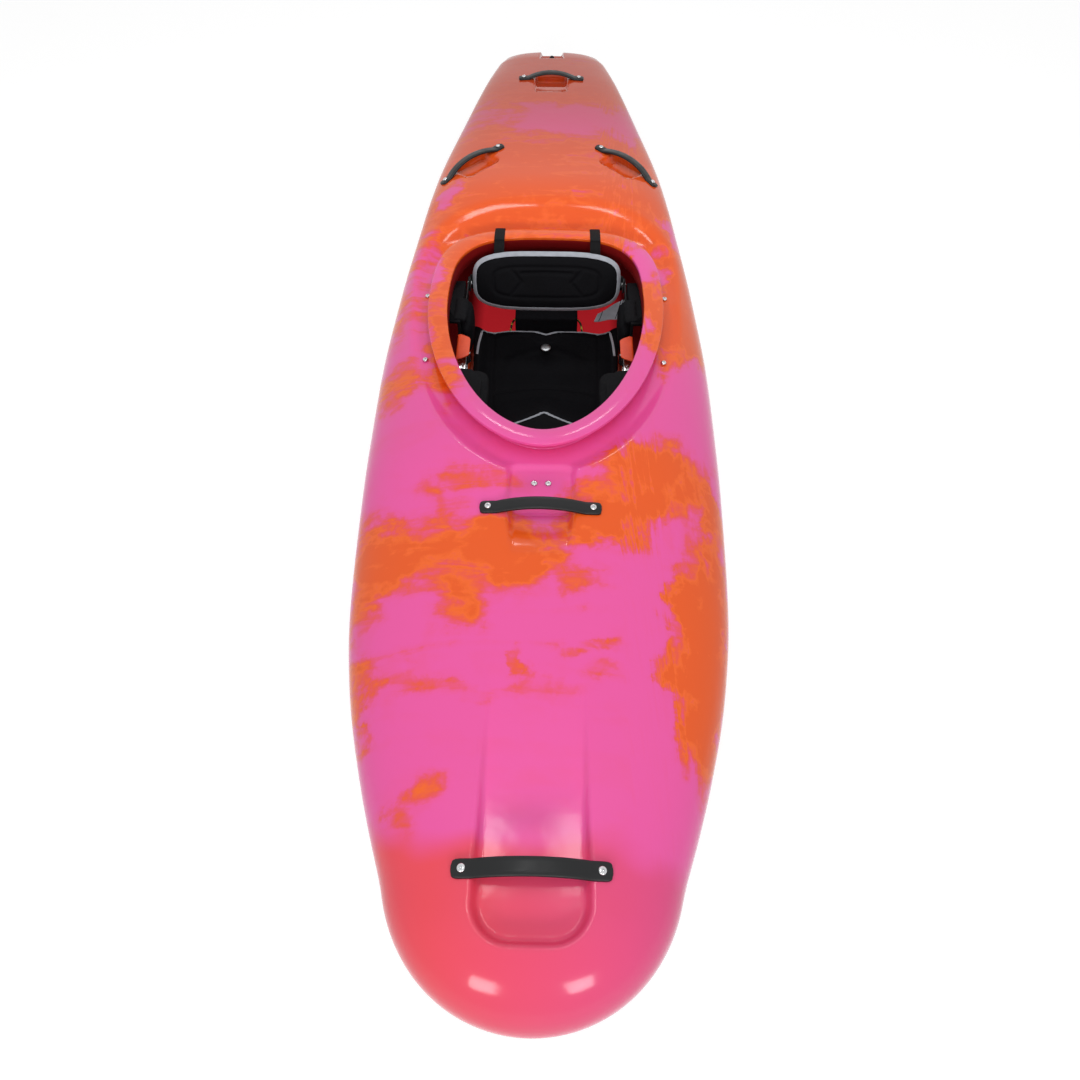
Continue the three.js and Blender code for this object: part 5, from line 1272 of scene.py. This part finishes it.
# The button pulls the cover down round it.
BUTTON_REACH, BUTTON_SUNK, DISH_RADIUS, DISH_DEPTH = 0.05, 0.0005, 0.045, 0.010
button_low, button_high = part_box("seat_button")
button_at = (Vector(button_low) + Vector(button_high)) / 2
co = points_of(cushions["seat_pad"])
away = np.hypot(co[:, 0] - button_at.x, co[:, 1] - button_at.y)
dish = button_low.z - BUTTON_SUNK + DISH_DEPTH * (away / DISH_RADIUS) ** 2
above = (away < BUTTON_REACH) & (co[:, 2] > SEAT_FACE)
co[above, 2] = np.minimum(co[above, 2], dish[above])
move_points(cushions["seat_pad"], co)
for node, body, voxel, shrink, smoothing, cap, full in PADS:
    made = cushions[node]
    finish = "foam" if node == "footrest_pad" else "pad"
    settled(made, cut_foam if finish == "foam" else neoprene, body, finish, node, sharp=180)
print("button at", [round(v, 4) for v in button_at])

# %% [markdown]
# ## Binding and trim
# Raw edges of the covers are bound in grey tape. A tape is a flat rounded section swept along its edge.
# Where it lies on a cushion, a ray dropped on the cushion gives its height.

# %% Tapes
TAPE_SIDES, TAPE_LIFT = 12, 0.0004
BINDING_WIDE, BINDING_THICK, LIFTER_WIDE = 0.006, 0.0018, 0.0115
UPWARDS = np.array((0, 0, 1))


def smooth_line(points, count):
    """A Catmull-Rom curve through the points."""
    points = np.array(points, float)
    padded = np.r_[[2 * points[0] - points[1]], points, [2 * points[-1] - points[-2]]]
    out = []
    for t in np.linspace(0, len(points) - 1, count):
        i = min(int(t), len(points) - 2)
        f = t - i
        a, b, c, d = padded[i:i + 4]
        bend, twist = 2 * a - 5 * b + 4 * c - d, 3 * b - a - 3 * c + d
        out.append(0.5 * (2 * b + (c - a) * f + bend * f * f + twist * f**3))
    return np.array(out)


def tape(name, line, wide, thick, up, closed=False):
    """A flat tape along a line of points; up is where its face looks, one for all or one per point."""
    line = np.array(line, float)
    up = np.broadcast_to(np.array(up, float), line.shape)
    turn = np.arange(TAPE_SIDES) / TAPE_SIDES * 2 * np.pi
    flattened = np.sign(np.cos(turn)) * np.abs(np.cos(turn)) ** 0.5
    section = np.c_[flattened * wide / 2, np.sin(turn) * thick / 2]
    rings = []
    for i, point in enumerate(line):
        ahead = line[(i + 1) % len(line)] if closed or i < len(line) - 1 else point
        behind = line[i - 1] if closed or i else point
        tangent = unit(ahead - behind)
        side = unit(np.cross(up[i], tangent))
        rings.append(point + section[:, :1] * side + section[:, 1:] * np.cross(tangent, side))
    if closed:
        faces = grid_faces(len(rings), TAPE_SIDES, closed_rows=True)
        return mesh_object(name, np.concatenate(rings), faces)
    return lofted(name, rings)


def laid_on(made, line, up=UPWARDS):
    """The line dropped on to a cushion against the direction up, one for all points or one for each."""
    tree = BVHTree.FromPolygons([v.co for v in made.data.vertices], [p.vertices for p in made.data.polygons])
    line = np.array(line, float)
    up = np.broadcast_to(np.array(up, float), line.shape)
    out = []
    for point, away in zip(line, up):
        hit = tree.ray_cast(Vector(point + 0.4 * away), Vector(-away))[0]
        out.append(np.array(hit) + TAPE_LIFT * away if hit else out[-1] if out else point)
    return np.array(out)


def bound(name, node, line, wide=BINDING_WIDE):
    """A grey binding laid on a cushion along a line seen from above."""
    made = tape(name, laid_on(cushions[node], line), wide, BINDING_THICK, UPWARDS)
    return settled(made, binding, "hull", "pad", sharp=60)


# The backrest's front is bordered with grey cloth that covers its rounded edge.
BORDER_HALF_WIDE, BORDER_HALF_HIGH, BORDER_POWER, BORDER_TILT = 0.1812, 0.0718, 3.4, 0.9
BORDER_WIDE, BORDER_THICK, BORDER_AHEAD, BORDER_INSET = 0.014, 0.0022, 0.0118, 0.0032
outline = oblong(BORDER_HALF_WIDE, BORDER_HALF_HIGH, BORDER_POWER, 140)[:-1]
sideways = np.gradient(np.r_[outline[-1:], outline, outline[:1]], axis=0)[1:-1]
outward = np.c_[sideways[:, 1], -sideways[:, 0]] / np.linalg.norm(sideways, axis=1, keepdims=True)
outward = outward[:, :1] * ACROSS + outward[:, 1:] * REST_UP
border_up = (outward + BORDER_TILT * REST_NORMAL) / math.hypot(1, BORDER_TILT)
border_line = REST_CENTRE + outline[:, :1] * ACROSS + outline[:, 1:] * REST_UP
border_line += BORDER_AHEAD * REST_NORMAL - BORDER_INSET * outward
border_line = laid_on(cushions["backrest_pad"], border_line, border_up)
border = tape("backrest_border", border_line, BORDER_WIDE, BORDER_THICK, border_up, closed=True)
settled(border, binding, "backrest", "pad", sharp=60)
TACK_OUT, TACK_UP, TACK_AHEAD, TACK_HALF, TACK_WIDE, TACK_THICK = 0.022, 0.004, 0.0188, 0.009, 0.004, 0.0012
tabs = []
for side in (-1, 1):
    at = REST_CENTRE + TACK_OUT * side * ACROSS + REST_UP * TACK_UP + REST_NORMAL * TACK_AHEAD
    line = [at + along * ACROSS for along in np.linspace(-TACK_HALF, TACK_HALF, 5)]
    tabs.append(tape(f"tab_{side}", line, TACK_WIDE, TACK_THICK, REST_NORMAL))
settled(joined("backrest_bar_tacks", *tabs), webbing, "backrest", "pad", sharp=60)

# The leg lifter's rear edge points forwards in the middle; its binding runs 7 mm ahead of that edge.
LIFTER_REAR, LIFTER_RAKE, LIFTER_INSET = -0.1418, 0.5, 0.007
lifter_line = []
for x in np.linspace(-0.115, 0.115, 41):
    lifter_line.append((x, LIFTER_REAR - LIFTER_RAKE * abs(x) - LIFTER_INSET, 0))
bound("leg_lifter_binding", "leg_lifter", lifter_line, LIFTER_WIDE)

# The seat cover's rear edge dips forwards in the middle.
SEAT_BACK, NOTCH, NOTCH_HALF, SEAT_INSET = 0.1585, 0.018, 0.094, 0.0025
rear_line = []
for x in np.linspace(-0.15, 0.15, 61):
    rear_line.append((x, SEAT_BACK - NOTCH * (1 - min(abs(x) / NOTCH_HALF, 1)) - SEAT_INSET, 0))
bound("seat_rear_binding", "seat_pad", rear_line)
SEAT_CORNER = ((0.150, 0.154, 0), (0.160, 0.149, 0), (0.164, 0.13, 0), (0.169, 0.11, 0), (0.173, 0.085, 0))
for side, name in SIDES:
    bound(f"seat_side_binding_{name}", "seat_pad", smooth_line(SEAT_CORNER, 30) * (side, 1, 1))
# Behind the cushion its cover is drawn over the pan's rear wall.
LIP_FRONT, LIP_REAR, LIP_LOW, LIP_TOP, LIP_HALF_WIDTH = 0.1668, 0.1742, 0.030, 0.0462, 0.19
corners = [(LIP_FRONT, LIP_LOW), (LIP_FRONT, LIP_TOP), (LIP_REAR, LIP_TOP), (LIP_REAR, LIP_LOW)]
lip = rounded_path(corners, [0, 0.002, 0.002, 0])
lip_rings = [np.c_[np.full(len(lip), x), lip] for x in np.linspace(-LIP_HALF_WIDTH, LIP_HALF_WIDTH, 40)]
settled(lofted("seat_cover_lip", lip_rings), neoprene, "hull", "pad", sharp=60)
print("tapes laid", len(rear_line))

# %% Side gusset
# A light panel of stitched cloth closes the gap between the seat cover and the left of the hull, by the
# hip pad.
GUSSET = ((0.120, 0.155, 0.119), (0.129, 0.176, 0.125), (0.206, 0.200, 0.162), (0.190, 0.150, 0.135))
GUSSET_SAG, GUSSET_WAVE, GUSSET_WALL = 0.006, 0.0012, (0, 0, 0.0012)
STITCH_WIDE, STITCH_THICK, STITCH_LIFT = 0.0016, 0.0008, (0, 0, 0.0017)
corners = np.array(GUSSET)
rows = []
for v in np.linspace(0, 1, 13):
    near, far = corners[0] + (corners[3] - corners[0]) * v, corners[1] + (corners[2] - corners[1]) * v
    row = []
    for u in np.linspace(0, 1, 9):
        sag = GUSSET_SAG * math.sin(math.pi * u) * math.sin(math.pi * v) + GUSSET_WAVE * math.sin(9 * v)
        row.append(near + (far - near) * u - sag * UPWARDS)
    rows.append(np.array(row))
panel = lofted("side_gusset", [np.r_[row + GUSSET_WALL, row[::-1] - GUSSET_WALL] for row in rows])
settled(panel, binding, "hull", "pad", sharp=60)
stitches = []
for v in (2, 9, 10):
    stitches.append(tape(f"stitches_{v}", rows[v] + STITCH_LIFT, STITCH_WIDE, STITCH_THICK, UPWARDS))
settled(joined("gusset_stitching", *stitches), neoprene, "hull", "pad", sharp=60)
print("gusset", [round(v, 3) for v in panel.dimensions])

# %% [markdown]
# ## Straps, cords and the button
# Webbing is modelled directly: a flat section that follows the imported strap's route. The two straps at the
# back hang between the fixed rim and the moving backrest; they are drawn in one shape and ride on neither.

# %% Webbing straps
WEBBING_WIDE, WEBBING_THICK, STRAP_X = 0.025, 0.0022, 0.117
# The backrest's middle plane lies this far ahead of the strap: half its cushion, a gap, its shell, room to
# tilt and half the strap.
STRAP_BEHIND = 0.015 + 0.00035 + 0.004 + 0.0020 + 0.0011


def rim_at(across, offset):
    """Where the rim's edge, moved outwards by the offset, lies behind the backrest at a place across."""
    share = 1 - (across / (HALF_WIDTH + offset)) ** REAR_POWER
    return WIDEST_Y + share ** (1 / REAR_POWER) * (REAR_REACH + offset)


def strap_route(x):
    """The strap's middle line: up behind the backrest, over the rim and down to its hook under the lip."""
    behind, leaning = REST_HINGE - REST_NORMAL * STRAP_BEHIND, REST_UP * 0.017 - REST_NORMAL * 0.0036
    inside = rim_at(x + WEBBING_WIDE / 2, 0) - 2 * WEBBING_THICK
    outside = rim_at(x - WEBBING_WIDE / 2, RIM_WIDTH) + WEBBING_THICK
    over_rim = (
        (inside, -0.0305, -0.0187), (inside, -0.0022, -0.0022), (inside, 0.0044, 0.002),
        ((inside + outside) / 2, 0, 0.0031), (outside, -0.0044, 0.0018), (outside, 0, -0.0025),
        (outside, 0, -0.014), (outside, -0.0022, -0.0162), (outside, -0.010, -0.0162),
    )
    route = [behind - REST_UP * 0.005, behind + REST_UP * 0.005, behind + leaning]
    route += [np.array((0, edge + beyond, rim_height(edge) + up)) for edge, beyond, up in over_rim]
    return np.array(route) + x * ACROSS


for side, name in SIDES:
    route = strap_route(STRAP_X) * (side, 1, 1)
    line = smooth_line(route, 90)
    up = np.cross(ACROSS, np.gradient(line, axis=0))
    strap = tape(f"webbing_{name}", line, WEBBING_WIDE, WEBBING_THICK, up)
    settled(strap, webbing, None, "webbing", f"rear_strap_{name}", sharp=70)
    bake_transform(strap)
print("strap length", round(float(np.linalg.norm(np.diff(line, axis=0), axis=1).sum()), 3))

# %% Ladder straps
# Nylon, with a row of steps that the ratchet's pawl climbs: 5 mm apart, as on such straps.
STEP_PITCH, STEP_LENGTH, STEP_DEPTH, LADDER_SLICE = 0.005, 0.0026, 0.0009, 0.00125
LADDER_TAPER, PLAIN_FRONT, PLAIN_REAR = 0.006, 0.012, 0.05
for side, name in SIDES:
    low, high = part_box(f"ladder_strap_{name}")
    outer, inner = (high.x, low.x) if side > 0 else (low.x, high.x)
    middle_z, half = (low.z + high.z) / 2, (high.z - low.z) / 2
    rings = []
    for y in np.arange(low.y, high.y, LADDER_SLICE):
        end = min(y - low.y, high.y - y)
        wide = half * (1 - 0.5 * (1 - min(end / LADDER_TAPER, 1)) ** 2)
        on_step = (y - low.y) % STEP_PITCH < STEP_LENGTH and end > PLAIN_FRONT and y < high.y - PLAIN_REAR
        flat = inner + side * (STEP_DEPTH if on_step else 0.0)
        profile = [(outer, -wide), (outer, wide), (flat, wide * 0.94), (flat, -wide * 0.94)]
        rings.append(np.array([(x, y, middle_z + z) for x, z in profile]))
    made = lofted(f"stepped_strap_{name}", rings)
    settled(made, nylon, "backrest_carriage", "strap", f"ladder_strap_{name}", sharp=30)
print("steps", round((high.y - low.y) / STEP_PITCH))

# %% Tie cords and the button
CORD_ROUTE = ((0.0829, 0.2273, 0.062), (0.0904, 0.2052, 0.062), (0.098, 0.1782, 0.0267))
CORD_RADIUS, CORD_SIDES, KNOT_AT, KNOT_REACH = 0.0025, 14, 37, 1.6
turn = np.arange(CORD_SIDES) / CORD_SIDES * 2 * np.pi
for side, name in SIDES:
    route = smooth_line(CORD_ROUTE, 40) * (side, 1, 1)
    rings = []
    for i, (point, tangent) in enumerate(zip(route, np.gradient(route, axis=0))):
        axes = frame_of(tangent, UPWARDS)
        # The sheath is braided, so its surface is slightly ribbed, and it swells into the knot.
        swell = 1 + 0.04 * math.sin(i * 2.4) + 1.1 * math.exp(-(((i - KNOT_AT) / KNOT_REACH) ** 2))
        round_it = np.cos(turn)[:, None] * axes[0] + np.sin(turn)[:, None] * axes[1]
        rings.append(point + CORD_RADIUS * swell * round_it)
    settled(lofted(f"tied_cord_{name}", rings), elastic_cord, "hull", "bungee", f"tie_cord_{name}")
button_base = np.array((button_at.x, button_at.y, button_low.z))
# (radius, height) in millimetres.
DOME = ((0.5, 0), (12.4, 0), (13, 0.6), (12.8, 1.6), (11, 2.6), (7, 3.3), (0.5, 3.5))
button = lofted("pressed_button", turned_body(DOME, button_base))
settled(button, drawn_aluminium, "hull", "rail", "seat_button", sharp=60)
print("button", [round(v, 4) for v in button_base])
